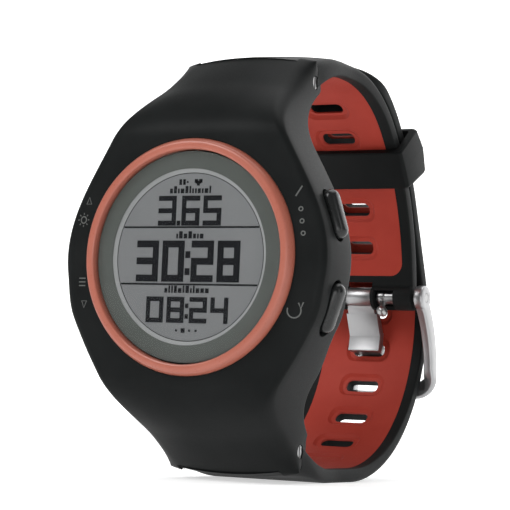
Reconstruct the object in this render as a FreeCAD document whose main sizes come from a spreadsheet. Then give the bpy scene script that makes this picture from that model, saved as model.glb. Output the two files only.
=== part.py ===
"""Running watch with a buckled silicone strap, in millimetres.

The watch stands on the lower bend of its strap: +Z points to 12 o'clock, +X to 3 o'clock, and
the face looks along -Y. Every piece is drawn with the face axis through X = 0, Z = 0 and the
front of the accent ring at Y = 0, and is then moved so that the origin is under the middle of
the whole watch.
"""
import FreeCAD, Part
import math
import os
import re

import Sketcher
from FreeCAD import Placement, Rotation, Vector

DIMENSIONS = [
    # case
    ("case_width", 48.0),
    ("lug_width", 24.0),
    ("lug_gap", 19.4),
    ("neck_height", 31.0),
    ("case_front", 1.2),
    ("case_back", 13.2),
    ("front_flat", 19.4),
    ("shoulder_depth", 9.2),
    ("shoulder_height", 27.9),
    ("back_flat", 18.5),
    ("rim_flat", 20.0),
    ("rim_slope", 3.2),
    ("edge_round", 0.8),
    ("cavity_radius", 18.0),
    ("cavity_front", 4.2),
    # pins at the lugs
    ("pin_depth", 19.5),
    ("pin_height", 30.3),
    ("pin_radius", 0.9),
    ("pin_play", 0.05),
    ("lug_boss", 3.4),
    ("screw_head", 1.1),
    # face stack
    ("ring_outer", 19.0),
    ("ring_bore", 17.15),
    ("ring_seat", 2.4),
    ("glass_radius", 17.0),
    ("glass_front", 0.7),
    ("glass_back", 2.1),
    ("window_radius", 14.07),
    ("mask_back", 2.3),
    ("gasket_back", 2.6),
    ("gasket_bore", 15.7),
    ("well_radius", 15.5),
    ("active_radius", 12.87),
    ("panel_radius", 14.6),
    ("panel_front", 3.4),
    ("panel_back", 4.6),
    ("guide_back", 5.4),
    ("board_front", 6.0),
    ("board_back", 6.8),
    ("board_radius", 16.2),
    ("fit_gap", 0.1),
    # back of the case
    ("cover_radius", 21.8),
    ("cover_front", 11.6),
    ("cover_dome", 0.8),
    ("screw_circle", 19.95),
    ("screw_radius", 0.8),
    ("battery_width", 22.0),
    ("battery_height", 17.0),
    ("battery_back", 10.9),
    # buttons
    ("button_height", 7.5),
    ("button_depth", 8.0),
    ("button_length", 8.2),
    ("button_width", 3.2),
    ("button_proud", 1.2),
    ("button_travel", 0.8),
    ("button_gap", 0.2),
    ("pocket_deep", 2.6),
    ("stem_radius", 0.9),
    ("stem_play", 0.05),
    ("seal_thick", 0.6),
    ("seal_from", 1.4),
    # strap
    ("strap_width", 22.0),
    ("tail_width", 21.6),
    ("strap_thick", 2.5),
    ("tail_thick", 2.4),
    ("liner_thick", 0.8),
    ("liner_width", 18.0),
    ("liner_start", 6.5),
    ("liner_corner", 2.2),
    ("liner_stop", 3.9),
    ("tip_border", 12.0),
    ("tip_corner", 8.0),
    ("first_slot", 9.0),
    ("layer_gap", 0.2),
    ("loop_height", 33.3),
    ("loop_start", 33.0),
    ("crown_depth", 36.0),
    ("crown_radius", 21.5),
    ("crown_turn", 48.0),
    ("tail_turn", 33.5),
    ("flank_radius", 45.0),
    ("flank_turn", 40.0),
    ("heel_depth", 42.5),
    ("heel_radius", 27.0),
    ("heel_lift", 20.0),
    ("slot_pitch", 7.1),
    ("slot_width", 6.4),
    ("slot_length", 2.4),
    ("slot_recess", 0.4),
    # buckle
    ("eye_radius", 2.4),
    ("bar_radius", 0.75),
    ("bar_play", 0.06),
    ("buckle_gap", 0.35),
    ("buckle_wall", 1.7),
    ("crossbar_angle", 25.0),
    ("arm_width", 3.6),
    ("crossbar_thick", 1.9),
    ("crossbar_long", 3.4),
    ("tongue_width", 5.4),
    ("tongue_thick", 1.5),
    ("tongue_angle", 12.0),
    ("notch_below", 1.2),
    ("finger_short", 1.9),
    ("knob_offset", 4.6),
    ("knob_travel", 1.2),
    # keeper
    ("keeper_angle", 33.3),
    ("keeper_length", 8.5),
    ("keeper_wall", 1.3),
    ("keeper_peak", 1.0),
    ("keeper_gap", 0.3),
    ("keeper_slack", 0.9),
]

doc = FreeCAD.newDocument("running_watch")
sheet = doc.addObject("Spreadsheet::Sheet", "sizes")
for row, (alias, number) in enumerate(DIMENSIONS, start=1):
    sheet.set(f"A{row}", str(number))
    sheet.setAlias(f"A{row}", alias)
doc.recompute()

nodes = []


def size(alias):
    """A driving dimension as a plain number."""
    return float(sheet.get(alias))


def on_sheet(expression):
    """The expression with each of its words made a reference to the sheet."""
    return re.sub(r"[a-z_]{3,}", lambda word: "sizes." + word.group(0), expression)


# ---------------------------------------------------------------- makers


def keep(thing, label):
    """Name a finished sub-part and put it on the list of pieces."""
    thing.Label = label
    nodes.append(thing)
    return thing


def solid(label, shape):
    """A sub-part whose shape is worked out here and set whole."""
    feature = doc.addObject("Part::Feature", label)
    feature.Shape = shape
    return keep(feature, label)


def origin_plane(body, role):
    return next(item for item in body.Origin.OriginFeatures if item.Role == role)


def corner_sketch(body, name, plane, corners):
    """A closed sketch whose corners are tied to the sheet by pairs of expressions."""
    sketch = body.newObject("Sketcher::SketchObject", name)
    sketch.AttachmentSupport = [(origin_plane(body, plane), "")]
    sketch.MapMode = "FlatFace"
    points = []
    for across, along in corners:
        first = float(sheet.evalExpression(on_sheet(across)))
        second = float(sheet.evalExpression(on_sheet(along)))
        points.append(Vector(first, second, 0))
    for start, end in zip(points, points[1:] + points[:1]):
        sketch.addGeometry(Part.LineSegment(start, end))
    for index in range(len(points)):
        following = (index + 1) % len(points)
        sketch.addConstraint(Sketcher.Constraint("Coincident", index, 2, following, 1))
    for index, (point, corner) in enumerate(zip(points, corners)):
        for kind, number, text in zip(("DistanceX", "DistanceY"), (point.x, point.y), corner):
            place = sketch.addConstraint(Sketcher.Constraint(kind, -1, 1, index, 1, number))
            sketch.setExpression(f"Constraints[{place}]", on_sheet(text))
    return sketch


def turned(label, corners):
    """A body turned about the face axis from corners given as radius and depth."""
    body = doc.addObject("PartDesign::Body", label)
    sketch = corner_sketch(body, label + "_outline", "XY_Plane", corners)
    turn = body.newObject("PartDesign::Revolution", label + "_turn")
    turn.Profile = sketch
    turn.ReferenceAxis = (sketch, ["V_Axis"])
    turn.Angle = 360
    body.Tip = turn
    return keep(body, label)


def flat_ring(label, bore, outer, front, back):
    """A turned washer or disc between two depths."""
    return turned(label, [(bore, front), (outer, front), (outer, back), (bore, back)])


def block(label, width, height, front, back, middle=(0.0, 0.0)):
    """A padded block: width along X, height along Z, between two depths."""
    body = doc.addObject("PartDesign::Body", label)
    across, up = middle
    corners = [
        (f"{across} - ({width}) / 2", f"{up} - ({height}) / 2"),
        (f"{across} + ({width}) / 2", f"{up} - ({height}) / 2"),
        (f"{across} + ({width}) / 2", f"{up} + ({height}) / 2"),
        (f"{across} - ({width}) / 2", f"{up} + ({height}) / 2"),
    ]
    sketch = corner_sketch(body, label + "_outline", "XZ_Plane", corners)
    sketch.setExpression("AttachmentOffset.Base.z", on_sheet(f"-({back})"))
    pad = body.newObject("PartDesign::Pad", label + "_pad")
    pad.Profile = sketch
    pad.setExpression("Length", on_sheet(f"({back}) - ({front})"))
    body.Tip = pad
    return keep(body, label)


def cross_pin(label, radius, long, depth, height):
    """A round pin along X, its length shared evenly about the middle of the watch."""
    pin = doc.addObject("Part::Cylinder", label)
    pin.setExpression("Radius", on_sheet(radius))
    pin.setExpression("Height", on_sheet(long))
    doc.recompute()
    start = Vector(-pin.Height.Value / 2, depth, height)
    pin.Placement = Placement(start, Rotation(Vector(0, 1, 0), 90))
    return keep(pin, label)


def rod(radius, start, end):
    """A round bar between two points."""
    return Part.makeCylinder(radius, (end - start).Length, start, end - start)


def side_rod(radius, point, left, right):
    """A round bar along X through a point of the side view."""
    return rod(radius, Vector(left, point.y, point.z), Vector(right, point.y, point.z))


def slab(edges, left, right):
    """A side-view outline, drawn in the YZ plane, given its width along X."""
    face = Part.Face(Part.Wire(Part.__sortEdges__(edges)))
    face.translate(Vector(left, 0, 0))
    return face.extrude(Vector(right - left, 0, 0))


def straight(points):
    """The edges of a closed outline with straight sides."""
    return [Part.makeLine(start, end) for start, end in zip(points, points[1:] + points[:1])]


def side(depth, height):
    return Vector(0, depth, height)


# ---------------------------------------------------------------- strap lines


def walk(start, heading, moves):
    """Lay a side-view line out of lines and arcs that turn smoothly into each other.

    A move is ("line", length) or ("arc", radius, turn in degrees, left turns positive). The
    result is a list of (kind, centre or None, start, end, heading at start, heading at end,
    radius, turn), with headings in radians from the +Y direction.
    """
    pieces = []
    place = start
    angle = math.radians(heading)
    for move in moves:
        if move[0] == "line":
            finish = place + side(math.cos(angle), math.sin(angle)) * move[1]
            pieces.append(("line", None, place, finish, angle, angle, 0.0, move[1]))
            place = finish
            continue
        radius, turn = move[1], math.radians(move[2])
        way = math.copysign(1.0, turn)
        centre = place + side(-math.sin(angle), math.cos(angle)) * radius * way
        after = angle + turn
        finish = centre + side(math.sin(after), -math.cos(after)) * radius * way
        pieces.append(("arc", centre, place, finish, angle, after, radius, turn))
        place = finish
        angle = after
    return pieces


def point_beside(piece, share, offset):
    """The point at a share of one piece of a line, moved to the right of its heading."""
    kind, centre, start, finish, before, after, radius, turn = piece
    angle = before + (after - before) * share
    right = side(math.sin(angle), -math.cos(angle))
    if kind == "line":
        return start + (finish - start) * share + right * offset
    way = math.copysign(1.0, turn)
    return centre + right * way * (radius + offset * way)


def beside(pieces, offset):
    """The edges that run beside a line at an offset to its right."""
    edges = []
    for piece in pieces:
        first, middle, last = (point_beside(piece, share, offset) for share in (0, 0.5, 1))
        if piece[0] == "line":
            edges.append(Part.makeLine(first, last))
        else:
            edges.append(Part.Arc(first, middle, last).toShape())
    return edges


def band(pieces, near, far, width):
    """A strip of even thickness that follows a line, centred on the middle of the watch."""
    edges = beside(pieces, near) + beside(pieces, far)
    for piece, share in ((pieces[0], 0), (pieces[-1], 1)):
        edges.append(Part.makeLine(point_beside(piece, share, near), point_beside(piece, share, far)))
    return slab(edges, -width / 2, width / 2)


def length_of(piece):
    return piece[7] if piece[0] == "line" else abs(piece[6] * piece[7])


def station(pieces, distance, offset):
    """The point and heading at a distance along a line."""
    for piece in pieces[:-1]:
        if distance <= length_of(piece):
            break
        distance -= length_of(piece)
    else:
        piece = pieces[-1]
    share = distance / length_of(piece)
    return point_beside(piece, share, offset), piece[4] + (piece[5] - piece[4]) * share


def stretch(pieces, begin, finish):
    """The part of a line between two distances along it."""
    part = []
    passed = 0.0
    for piece in pieces:
        long = length_of(piece)
        low, high = max(begin - passed, 0.0) / long, min(finish - passed, long) / long
        passed += long
        if high <= low:
            continue
        turn = piece[5] - piece[4]
        span = long * (high - low) if piece[0] == "line" else piece[7] * (high - low)
        part.append((piece[0], piece[1], point_beside(piece, low, 0), point_beside(piece, high, 0),
                     piece[4] + turn * low, piece[4] + turn * high, piece[6], span))
    return part


def across_strap(pieces, distance):
    """The placement whose Y axis runs along a strap and whose Z axis points to its right."""
    centre, angle = station(pieces, distance, 0.0)
    along = side(math.cos(angle), math.sin(angle))
    right = side(math.sin(angle), -math.cos(angle))
    return Placement(centre, Rotation(along.cross(right), along, right, "ZYX"))


def plug(pieces, distance, reach, width, length, corner):
    """A rounded block across a strap, between two offsets to its right, for cutting a slot."""
    low, high = sorted(reach)
    blank = Part.makeBox(width, length, high - low, Vector(-width / 2, -length / 2, low))
    upright = [edge for edge in blank.Edges if abs(edge.tangentAt(edge.FirstParameter).z) > 0.9]
    blank = blank.makeFillet(corner, upright)
    blank.Placement = across_strap(pieces, distance)
    return blank


def strip(pieces, begin, finish, reach, width, corner):
    """A band between two distances along a strap line, with its corners rounded in plan."""
    shape = band(stretch(pieces, begin, finish), reach[0], reach[1], width)
    depth = 2 * max(abs(reach[0]), abs(reach[1]))
    cuts = []
    for distance, way in ((begin, 1), (finish, -1)):
        for hand in (1, -1):
            low = Vector(min(-hand * corner, hand), min(way * corner, -way), -depth)
            piece = Part.makeBox(corner + 1, corner + 1, 2 * depth, low).cut(
                Part.makeCylinder(corner, 2 * depth, Vector(-corner * hand, corner * way, -depth)))
            piece.Placement = Placement(Vector(-hand * width / 2, 0, 0), Rotation()).multiply(
                across_strap(pieces, distance))
            cuts.append(piece)
    return shape.cut(cuts)


# ---------------------------------------------------------------- places shared by the pieces

pin_at = side(size("pin_depth"), size("pin_height"))
strap_thick = size("strap_thick")
tail_thick = size("tail_thick")
liner_thick = size("liner_thick")
layer_gap = size("layer_gap")

# The upper half runs from its pin over the crown to the buckle bar, wrist side as reference.
loop_height = size("loop_height")
loop_start = size("loop_start")
rise = loop_height + strap_thick / 2 - pin_at.z
run = loop_start - pin_at.y
lug_turn = 2 * math.atan2(rise, run)
lug_radius = run / math.sin(lug_turn) - strap_thick / 2
upper_start = side(
    loop_start - lug_radius * math.sin(lug_turn),
    loop_height - lug_radius * (1 - math.cos(lug_turn)),
)
upper_line = walk(upper_start, math.degrees(lug_turn), [
    ("arc", lug_radius, -math.degrees(lug_turn)),
    ("line", size("crown_depth") - loop_start),
    ("arc", size("crown_radius"), -size("crown_turn")),
    ("arc", size("flank_radius"), -size("flank_turn")),
])
crown_centre = upper_line[2][1]
flank_centre = upper_line[3][1]
upper_long = sum(length_of(piece) for piece in upper_line)
bar_at, bar_heading = station(upper_line, upper_long, -strap_thick / 2)

# The lower half runs from its pin round the heel, out past the bar and over the upper half.
heel_radius = size("heel_radius")
heel_lift = size("heel_lift")
tail_flank = size("flank_radius") + strap_thick + layer_gap
tail_crown = size("crown_radius") + strap_thick + layer_gap
heel_centre = side(size("heel_depth"), heel_radius - loop_height)
lift_centre = heel_centre + side(heel_radius - heel_lift, 0)
reach = lift_centre - flank_centre
lift_turn = math.atan2(reach.z, reach.y) + math.acos((tail_flank - heel_lift) / reach.Length)
lean = side(math.cos(lift_turn), math.sin(lift_turn))
gap_line = (flank_centre + lean * tail_flank - lift_centre - lean * heel_lift).Length
lower_start = side(upper_start.y, -upper_start.z)
lower_line = walk(lower_start, -math.degrees(lug_turn), [
    ("arc", lug_radius, math.degrees(lug_turn)),
    ("line", size("heel_depth") - loop_start),
    ("arc", heel_radius, 90),
    ("arc", heel_lift, math.degrees(lift_turn)),
    ("line", gap_line),
    ("arc", tail_flank, 90 - size("crown_turn") - math.degrees(lift_turn)),
    ("arc", tail_crown, size("tail_turn")),
])
lower_long = sum(length_of(piece) for piece in lower_line)
heel_end = sum(length_of(piece) for piece in lower_line[:3])
tongue_slot = heel_end - heel_radius * math.radians(size("tongue_angle"))


# ---------------------------------------------------------------- case


def neck_radius():
    """The hollow arcs that lead from the round middle to the straight lugs."""
    middle, lug = size("case_width") / 2, size("lug_width") / 2
    return (lug ** 2 + size("neck_height") ** 2 - middle ** 2) / (2 * (middle - lug))


def case_outline():
    """The front outline, round in the middle with hollow necks, as a block through the depth."""
    middle, lug = size("case_width") / 2, size("lug_width") / 2
    neck, low = neck_radius(), size("neck_height")
    high = pin_at.z + size("lug_boss") + 1
    centre = Vector(lug + neck, 0, low)
    meet = centre * (middle / (middle + neck))
    half_turn = math.atan2(low, lug + neck) / 2
    bend = centre + ((meet - centre).normalize() + Vector(-1, 0, 0)).normalize() * neck
    quarter = [
        Part.Arc(Vector(middle, 0, 0),
                 Vector(math.cos(half_turn), 0, math.sin(half_turn)) * middle, meet),
        Part.Arc(meet, bend, Vector(lug, 0, low)),
        Part.LineSegment(Vector(lug, 0, low), Vector(lug, 0, high)),
        Part.LineSegment(Vector(lug, 0, high), Vector(0, 0, high)),
    ]
    edges = []
    for piece in quarter:
        edge = piece.toShape()
        left = edge.mirror(Vector(0, 0, 0), Vector(1, 0, 0))
        edges += [edge, left]
        edges += [part.mirror(Vector(0, 0, 0), Vector(0, 0, 1)) for part in (edge, left)]
    wire = Part.Wire(Part.__sortEdges__(edges))
    return Part.Face(wire).extrude(Vector(0, 2 * pin_at.y, 0))


def case_profile():
    """The side view of the case: flat front, sloping shoulders, lugs, and a flat back."""
    front, back = size("case_front"), size("case_back")
    flat, shoulder = size("front_flat"), size("shoulder_height")
    boss = size("lug_boss")
    outer = pin_at + side(-math.sin(math.radians(27)), math.cos(math.radians(27))) * boss
    inner = pin_at + side(math.sin(math.radians(38)), -math.cos(math.radians(38))) * boss
    halfway = side(front + (size("shoulder_depth") - front) * 0.3, flat + (shoulder - flat) * 0.6)
    upper = [side(size("shoulder_depth"), shoulder), outer, pin_at, inner,
             side(back + 4.0, size("back_flat") + 5.6), side(back, size("back_flat"))]
    lower = [side(point.y, -point.z) for point in reversed(upper)]
    chain = upper + lower
    edges = [Part.makeLine(start, end) for start, end in zip(chain, chain[1:])]
    for way in (1, -1):
        edges.append(Part.Arc(side(front, flat * way), side(halfway.y, halfway.z * way),
                              side(size("shoulder_depth"), shoulder * way)).toShape())
    edges.append(Part.makeLine(side(front, flat), side(front, -flat)))
    body = slab(edges, -size("case_width"), size("case_width"))
    for way in (1, -1):
        centre = side(pin_at.y, pin_at.z * way)
        body = body.fuse(side_rod(boss, centre, -size("case_width"), size("case_width")))
    return body.removeSplitter()


def drum(radius, front, back):
    """A solid cylinder about the face axis between two depths."""
    return rod(radius, side(front, 0), side(back, 0))


def at_button(shape, number):
    """Turn a shape drawn out along +X from the face axis to one of the four buttons.

    Buttons 0 and 1 are the upper and lower ones on the right, 2 and 3 those on the left.
    """
    lean_angle = math.degrees(math.asin(size("button_height") / (size("case_width") / 2)))
    placed = shape.copy()
    placed.translate(Vector(0, size("button_depth"), 0))
    placed.rotate(Vector(0, 0, 0), Vector(0, 1, 0), lean_angle if number % 2 else -lean_angle)
    return placed.mirror(Vector(0, 0, 0), Vector(1, 0, 0)) if number > 1 else placed


def pill(length, width, start, end):
    """A flat pill drawn across the X axis between two distances along it."""
    straight_part = length - width
    middle = Part.makeBox(end - start, width, straight_part,
                          Vector(start, -width / 2, -straight_part / 2))
    ends = [Part.makeCylinder(width / 2, end - start, Vector(start, 0, height), Vector(1, 0, 0))
            for height in (-straight_part / 2, straight_part / 2)]
    return middle.fuse(ends).removeSplitter()


def rim_edges(shape):
    """The edges where the case's round sides meet its flat back."""
    picked = []
    for edge in shape.Edges:
        begin, finish = edge.FirstParameter, edge.LastParameter
        points = [edge.valueAt(begin + (finish - begin) * share) for share in (0.2, 0.5, 0.8)]
        gaps = [abs(math.hypot(point.x, point.z) - size("case_width") / 2) for point in points]
        depths = [abs(point.y - size("case_back")) for point in points]
        if max(gaps) < 0.01 and max(depths) < 0.01:
            picked.append(edge)
    return picked


def case_shell():
    """The moulded case: bezel seat, hollow middle, back recess, lugs and button bores."""
    body = case_outline().common(case_profile())
    front, slope = size("case_front"), size("rim_slope")
    flat, deep = size("rim_flat"), 2 * pin_at.y
    cone = [Vector(0, front - 1, 0), Vector(flat - slope, front - 1, 0),
            Vector(flat + slope * deep, front + deep, 0), Vector(0, front + deep, 0)]
    body = body.common(Part.Face(Part.makePolygon(cone + cone[:1])).revolve(
        Vector(0, 0, 0), Vector(0, 1, 0), 360))
    body = body.makeFillet(size("edge_round"), rim_edges(body))
    gap = size("fit_gap")
    seat = size("ring_seat")
    cuts = [
        drum(size("ring_outer") + gap / 2, front - 5, seat),
        drum(size("glass_radius") + gap / 2, front - 5, size("gasket_back")),
        drum(size("well_radius"), front - 5, size("cavity_front") + 1),
        drum(size("cavity_radius"), size("cavity_front"), size("case_back") + 20),
        drum(size("cavity_radius") + 0.8, size("cover_front") - 0.5, size("case_back")),
        drum(size("cover_radius") + gap, size("cover_front"), size("case_back") + 20),
    ]
    for way in (1, -1):
        centre = side(pin_at.y, pin_at.z * way)
        half = size("lug_gap") / 2
        room = size("eye_radius") + 0.3
        cuts.append(side_rod(room, centre, -half, half))
        far = (size("lug_boss") + 2) * way
        cuts.append(slab(straight([centre - side(room, 0), centre + side(-room, far),
                                   centre + side(8, far), centre + side(8, -far * 0.55),
                                   centre + side(0, -room * way)]), -half, half))
        end = size("lug_width") / 2 + 2
        cuts.append(side_rod(size("pin_radius") + size("pin_play"), centre, -end, end))
        sink = size("lug_width") / 2 - 0.8
        for left, right in ((sink, end), (-end, -sink)):
            cuts.append(side_rod(size("screw_head") + 0.1, centre, left, right))
    for number in range(4):
        for shape in button_cuts():
            cuts.append(at_button(shape, number))
    for place in screw_places():
        cuts.append(rod(size("screw_radius"), place + side(size("cover_front") - 4, 0),
                        place + side(size("cover_front") + 1, 0)))
    return body.cut(cuts)


def button_cuts():
    """The pocket, the stem bore and the seal groove of a button, drawn along +X."""
    radius = size("case_width") / 2
    clear = size("button_gap")
    floor = radius - size("pocket_deep")
    stem = size("stem_radius") + size("stem_play")
    inside = size("cavity_radius") - 2
    return [
        pill(size("button_length") + 2 * clear, size("button_width") + 2 * clear, floor, radius + 5),
        rod(stem, Vector(inside, 0, 0), Vector(floor + 1, 0, 0)),
        rod(stem + size("seal_thick"), Vector(floor - size("seal_from") - size("seal_thick"), 0, 0),
            Vector(floor - size("seal_from"), 0, 0)),
    ]


def screw_places():
    """The four corners of the back cover's screw circle."""
    across = size("screw_circle") * math.sqrt(0.5)
    return [Vector(x * across, 0, z * across) for x in (1, -1) for z in (1, -1)]


solid("case_shell", case_shell())

# ---------------------------------------------------------------- face stack

turned("accent_ring", [
    ("ring_bore", "glass_front - 0.1"), ("ring_bore + 0.45", "0"), ("ring_outer - 0.5", "0"),
    ("ring_outer", "0.5"), ("ring_outer", "ring_seat"), ("ring_bore", "ring_seat"),
])
turned("lens", [
    ("0", "glass_front"), ("glass_radius - 0.3", "glass_front"),
    ("glass_radius", "glass_front + 0.3"), ("glass_radius", "glass_back"), ("0", "glass_back"),
])
flat_ring("mask_ring", "window_radius", "glass_radius - fit_gap", "glass_back", "mask_back")
flat_ring("lens_gasket", "gasket_bore", "glass_radius - fit_gap", "mask_back", "gasket_back")
turned("lcd_bezel", [
    ("window_radius + 0.05", "mask_back"), ("well_radius - fit_gap * 2", "mask_back"),
    ("well_radius - fit_gap * 2", "panel_front"), ("active_radius", "panel_front"),
])
flat_ring("lcd_panel", "0", "panel_radius", "panel_front", "panel_back")
flat_ring("light_guide", "0", "panel_radius", "panel_back", "guide_back")
turned("inner_frame", [
    ("panel_radius + fit_gap * 2", "cavity_front"), ("cavity_radius - fit_gap * 2", "cavity_front"),
    ("cavity_radius - fit_gap * 2", "board_front"), ("panel_radius - 1.4", "board_front"),
    ("panel_radius - 1.4", "guide_back"), ("panel_radius + fit_gap * 2", "guide_back"),
])
flat_ring("main_board", "0", "board_radius", "board_front", "board_back")
block("battery", "battery_width", "battery_height", "board_back", "battery_back", ("0", "-1"))


def board_chips():
    """Three packages soldered above the battery, and a connector."""
    back = size("board_back")
    top = size("battery_height") / 2
    chips = [(-5.0, top + 2.6, 5.0, 4.0, 1.0), (2.2, top + 2.4, 5.6, 3.6, 0.9),
             (8.2, top + 1.6, 3.2, 3.0, 1.2)]
    return Part.makeCompound([
        Part.makeBox(wide, tall, high, Vector(x - wide / 2, back, z - high / 2))
        for x, z, wide, high, tall in chips])


def arc_strip(low, high, front, back, begin, finish):
    """A curved strip inside the case, between two angles about the face axis."""
    ring = drum(high, front, back).cut(drum(low, front - 1, back + 1))
    reach_out = high * 2
    corners = [Vector(0, front - 1, 0)]
    for share in range(5):
        angle = math.radians(begin + (finish - begin) * share / 4)
        corners.append(Vector(math.cos(angle) * reach_out, front - 1, math.sin(angle) * reach_out))
    wedge = Part.Face(Part.makePolygon(corners + corners[:1])).extrude(Vector(0, back + 2, 0))
    return ring.common(wedge)


cavity = size("cavity_radius")
solid("board_chips", board_chips())
solid("gps_antenna", arc_strip(size("board_radius") + 0.1, cavity - 0.2, size("board_front") + 0.05,
                               size("cover_front") - 1, 60, 120))
solid("vibration_motor", rod(3.0, Vector(0, size("board_back"), 3.3 - size("board_radius")),
                             Vector(0, size("board_back") + 2.7, 3.3 - size("board_radius"))))

# ---------------------------------------------------------------- back of the case


def back_cover():
    """The domed cover with four sunk screw holes and two contact holes."""
    front, back = size("cover_front"), size("case_back")
    dome = size("cover_dome")
    radius = size("cover_radius")
    outline = [Vector(0, front, 0), Vector(radius, front, 0), Vector(radius, back, 0),
               Vector(radius - 5, back + dome, 0), Vector(0, back + dome, 0)]
    body = Part.Face(Part.makePolygon(outline + outline[:1])).revolve(
        Vector(0, 0, 0), Vector(0, 1, 0), 360)
    cuts = []
    for place in screw_places():
        cuts.append(rod(size("screw_radius") + 0.1, place + side(front - 1, 0),
                        place + side(back + dome + 1, 0)))
        cuts.append(rod(size("screw_radius") * 1.75, place + side(back - 0.6, 0),
                        place + side(back + dome + 1, 0)))
    for place in contact_places():
        cuts.append(rod(0.85, place + side(front - 1, 0), place + side(back + dome + 1, 0)))
    return body.cut(cuts)


def contact_places():
    """The row of charging contacts near the lower edge of the cover."""
    return [Vector(2.6 * step, 0, -13.0) for step in (-1.5, -0.5, 0.5, 1.5)]


def back_screws():
    """Four small screws, each a head on a shank."""
    head_front = size("case_back") - 0.6
    screws = []
    for place in screw_places():
        shank = rod(size("screw_radius") - 0.05, place + side(size("cover_front") - 3.5, 0),
                    place + side(head_front, 0))
        head = rod(size("screw_radius") * 1.6, place + side(head_front, 0),
                   place + side(head_front + 0.6, 0))
        slot = Part.makeBox(0.3, 0.4, size("screw_radius") * 2.4,
                            place + Vector(-0.15, head_front + 0.35, -size("screw_radius") * 1.2))
        cross = Part.makeBox(size("screw_radius") * 2.4, 0.4, 0.3,
                             place + Vector(-size("screw_radius") * 1.2, head_front + 0.35, -0.15))
        screws.append(shank.fuse(head).cut([slot, cross]))
    return Part.makeCompound(screws)


solid("back_cover", back_cover())
flat_ring("back_gasket", "cavity_radius + 0.15", "cavity_radius + 0.75", "cover_front - 0.5",
          "cover_front")
solid("back_screws", back_screws())
solid("charge_contacts", Part.makeCompound([
    rod(0.8, place + side(size("cover_front") - 0.6, 0),
        place + side(size("case_back") + size("cover_dome") - 0.1, 0))
    for place in contact_places()]))
flat_ring("buzzer_disc", "0", "7", "cover_front - 0.4", "cover_front")

# ---------------------------------------------------------------- buttons

travel = size("button_travel")
stem = size("stem_radius")
floor = size("case_width") / 2 - size("pocket_deep")
cap_face = size("case_width") / 2 + size("button_proud")
cap_under = floor + travel + 0.6
clip_at = size("cavity_radius") - 0.75


def button():
    """A crowned pill cap on a round stem, with a groove for its clip."""
    cap = pill(size("button_length"), size("button_width"), cap_under, cap_face - 0.4)
    crown = pill(size("button_length") - 1.0, size("button_width") - 1.0, cap_face - 0.5, cap_face)
    stalk = rod(stem, Vector(clip_at - 0.5, 0, 0), Vector(cap_under + 0.1, 0, 0))
    neck = rod(stem + 1, Vector(clip_at, 0, 0), Vector(clip_at + 0.45, 0, 0)).cut(
        rod(stem - 0.3, Vector(clip_at - 1, 0, 0), Vector(clip_at + 1, 0, 0)))
    return cap.fuse([crown, stalk]).cut(neck).removeSplitter()


def washer(bore, outer, start, end):
    """A flat ring about the X axis between two distances along it."""
    return rod(outer, Vector(start, 0, 0), Vector(end, 0, 0)).cut(
        rod(bore, Vector(start - 1, 0, 0), Vector(end + 1, 0, 0)))


def button_spring():
    """The return spring under a cap, as the sleeve that its coils fill."""
    return washer(stem + 0.15, stem + 0.5, floor, cap_under)


def button_seal():
    """The O-ring that wipes the stem."""
    middle = floor - size("seal_from") - size("seal_thick") / 2
    return washer(stem + size("stem_play"), stem + size("seal_thick"), middle - 0.28, middle + 0.28)


def tact_switch():
    """The small switch that a stem pushes on."""
    face = clip_at - 0.5 - travel - 0.1
    return Part.makeBox(1.0, 2.2, 2.6, Vector(face - 1.0, -1.1, -1.3))


for number, place in enumerate(("upper_right", "lower_right", "upper_left", "lower_left")):
    solid(f"button_{place}", at_button(button(), number))
    solid(f"button_clip_{place}", at_button(
        washer(stem - 0.3, stem + 0.45, clip_at + 0.02, clip_at + 0.42), number))
    solid(f"button_spring_{place}", at_button(button_spring(), number))
solid("button_seals", Part.makeCompound([at_button(button_seal(), number) for number in range(4)]))
solid("button_switches", Part.makeCompound([
    at_button(tact_switch(), number) for number in range(4)]))

# ---------------------------------------------------------------- strap halves


def narrow_end(shape, way):
    """Trim a strap's end to fit between the lugs, with a slanted step to full width."""
    inner, outer = size("lug_gap") / 2 - 0.25, size("strap_width")
    near, clear = pin_at.y - 8, pin_at.y + size("lug_boss") + 0.4
    cuts = []
    for hand in (1, -1):
        corners = [(inner, near), (inner, clear), (inner + 2, clear + 2), (outer, clear + 2),
                   (outer, near)]
        points = [Vector(x * hand, y, 0) for x, y in corners]
        tall = Vector(0, 0, (loop_height + 10) * way)
        cuts.append(Part.Face(Part.makePolygon(points + points[:1])).extrude(tall))
    return shape.cut(cuts)


def half_width():
    return size("lug_gap") / 2 - 0.25


def slot_cuts(line, out, distances, thick):
    """Through slots with a wider shallow recess on the wrist side."""
    recess = size("slot_recess")
    across, along = size("slot_width"), size("slot_length")
    cuts = []
    for distance in distances:
        cuts.append(plug(line, distance, (-out, (thick + 1) * out), across, along, along * 0.35))
        cuts += recess_cuts(line, out, [distance])
    return cuts


def recess_cuts(line, out, distances):
    """The shallow recesses alone."""
    across, along = size("slot_width") + 1.6, size("slot_length") + 1.4
    return [plug(line, distance, (-out, size("slot_recess") * out), across, along, along * 0.4)
            for distance in distances]


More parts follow.
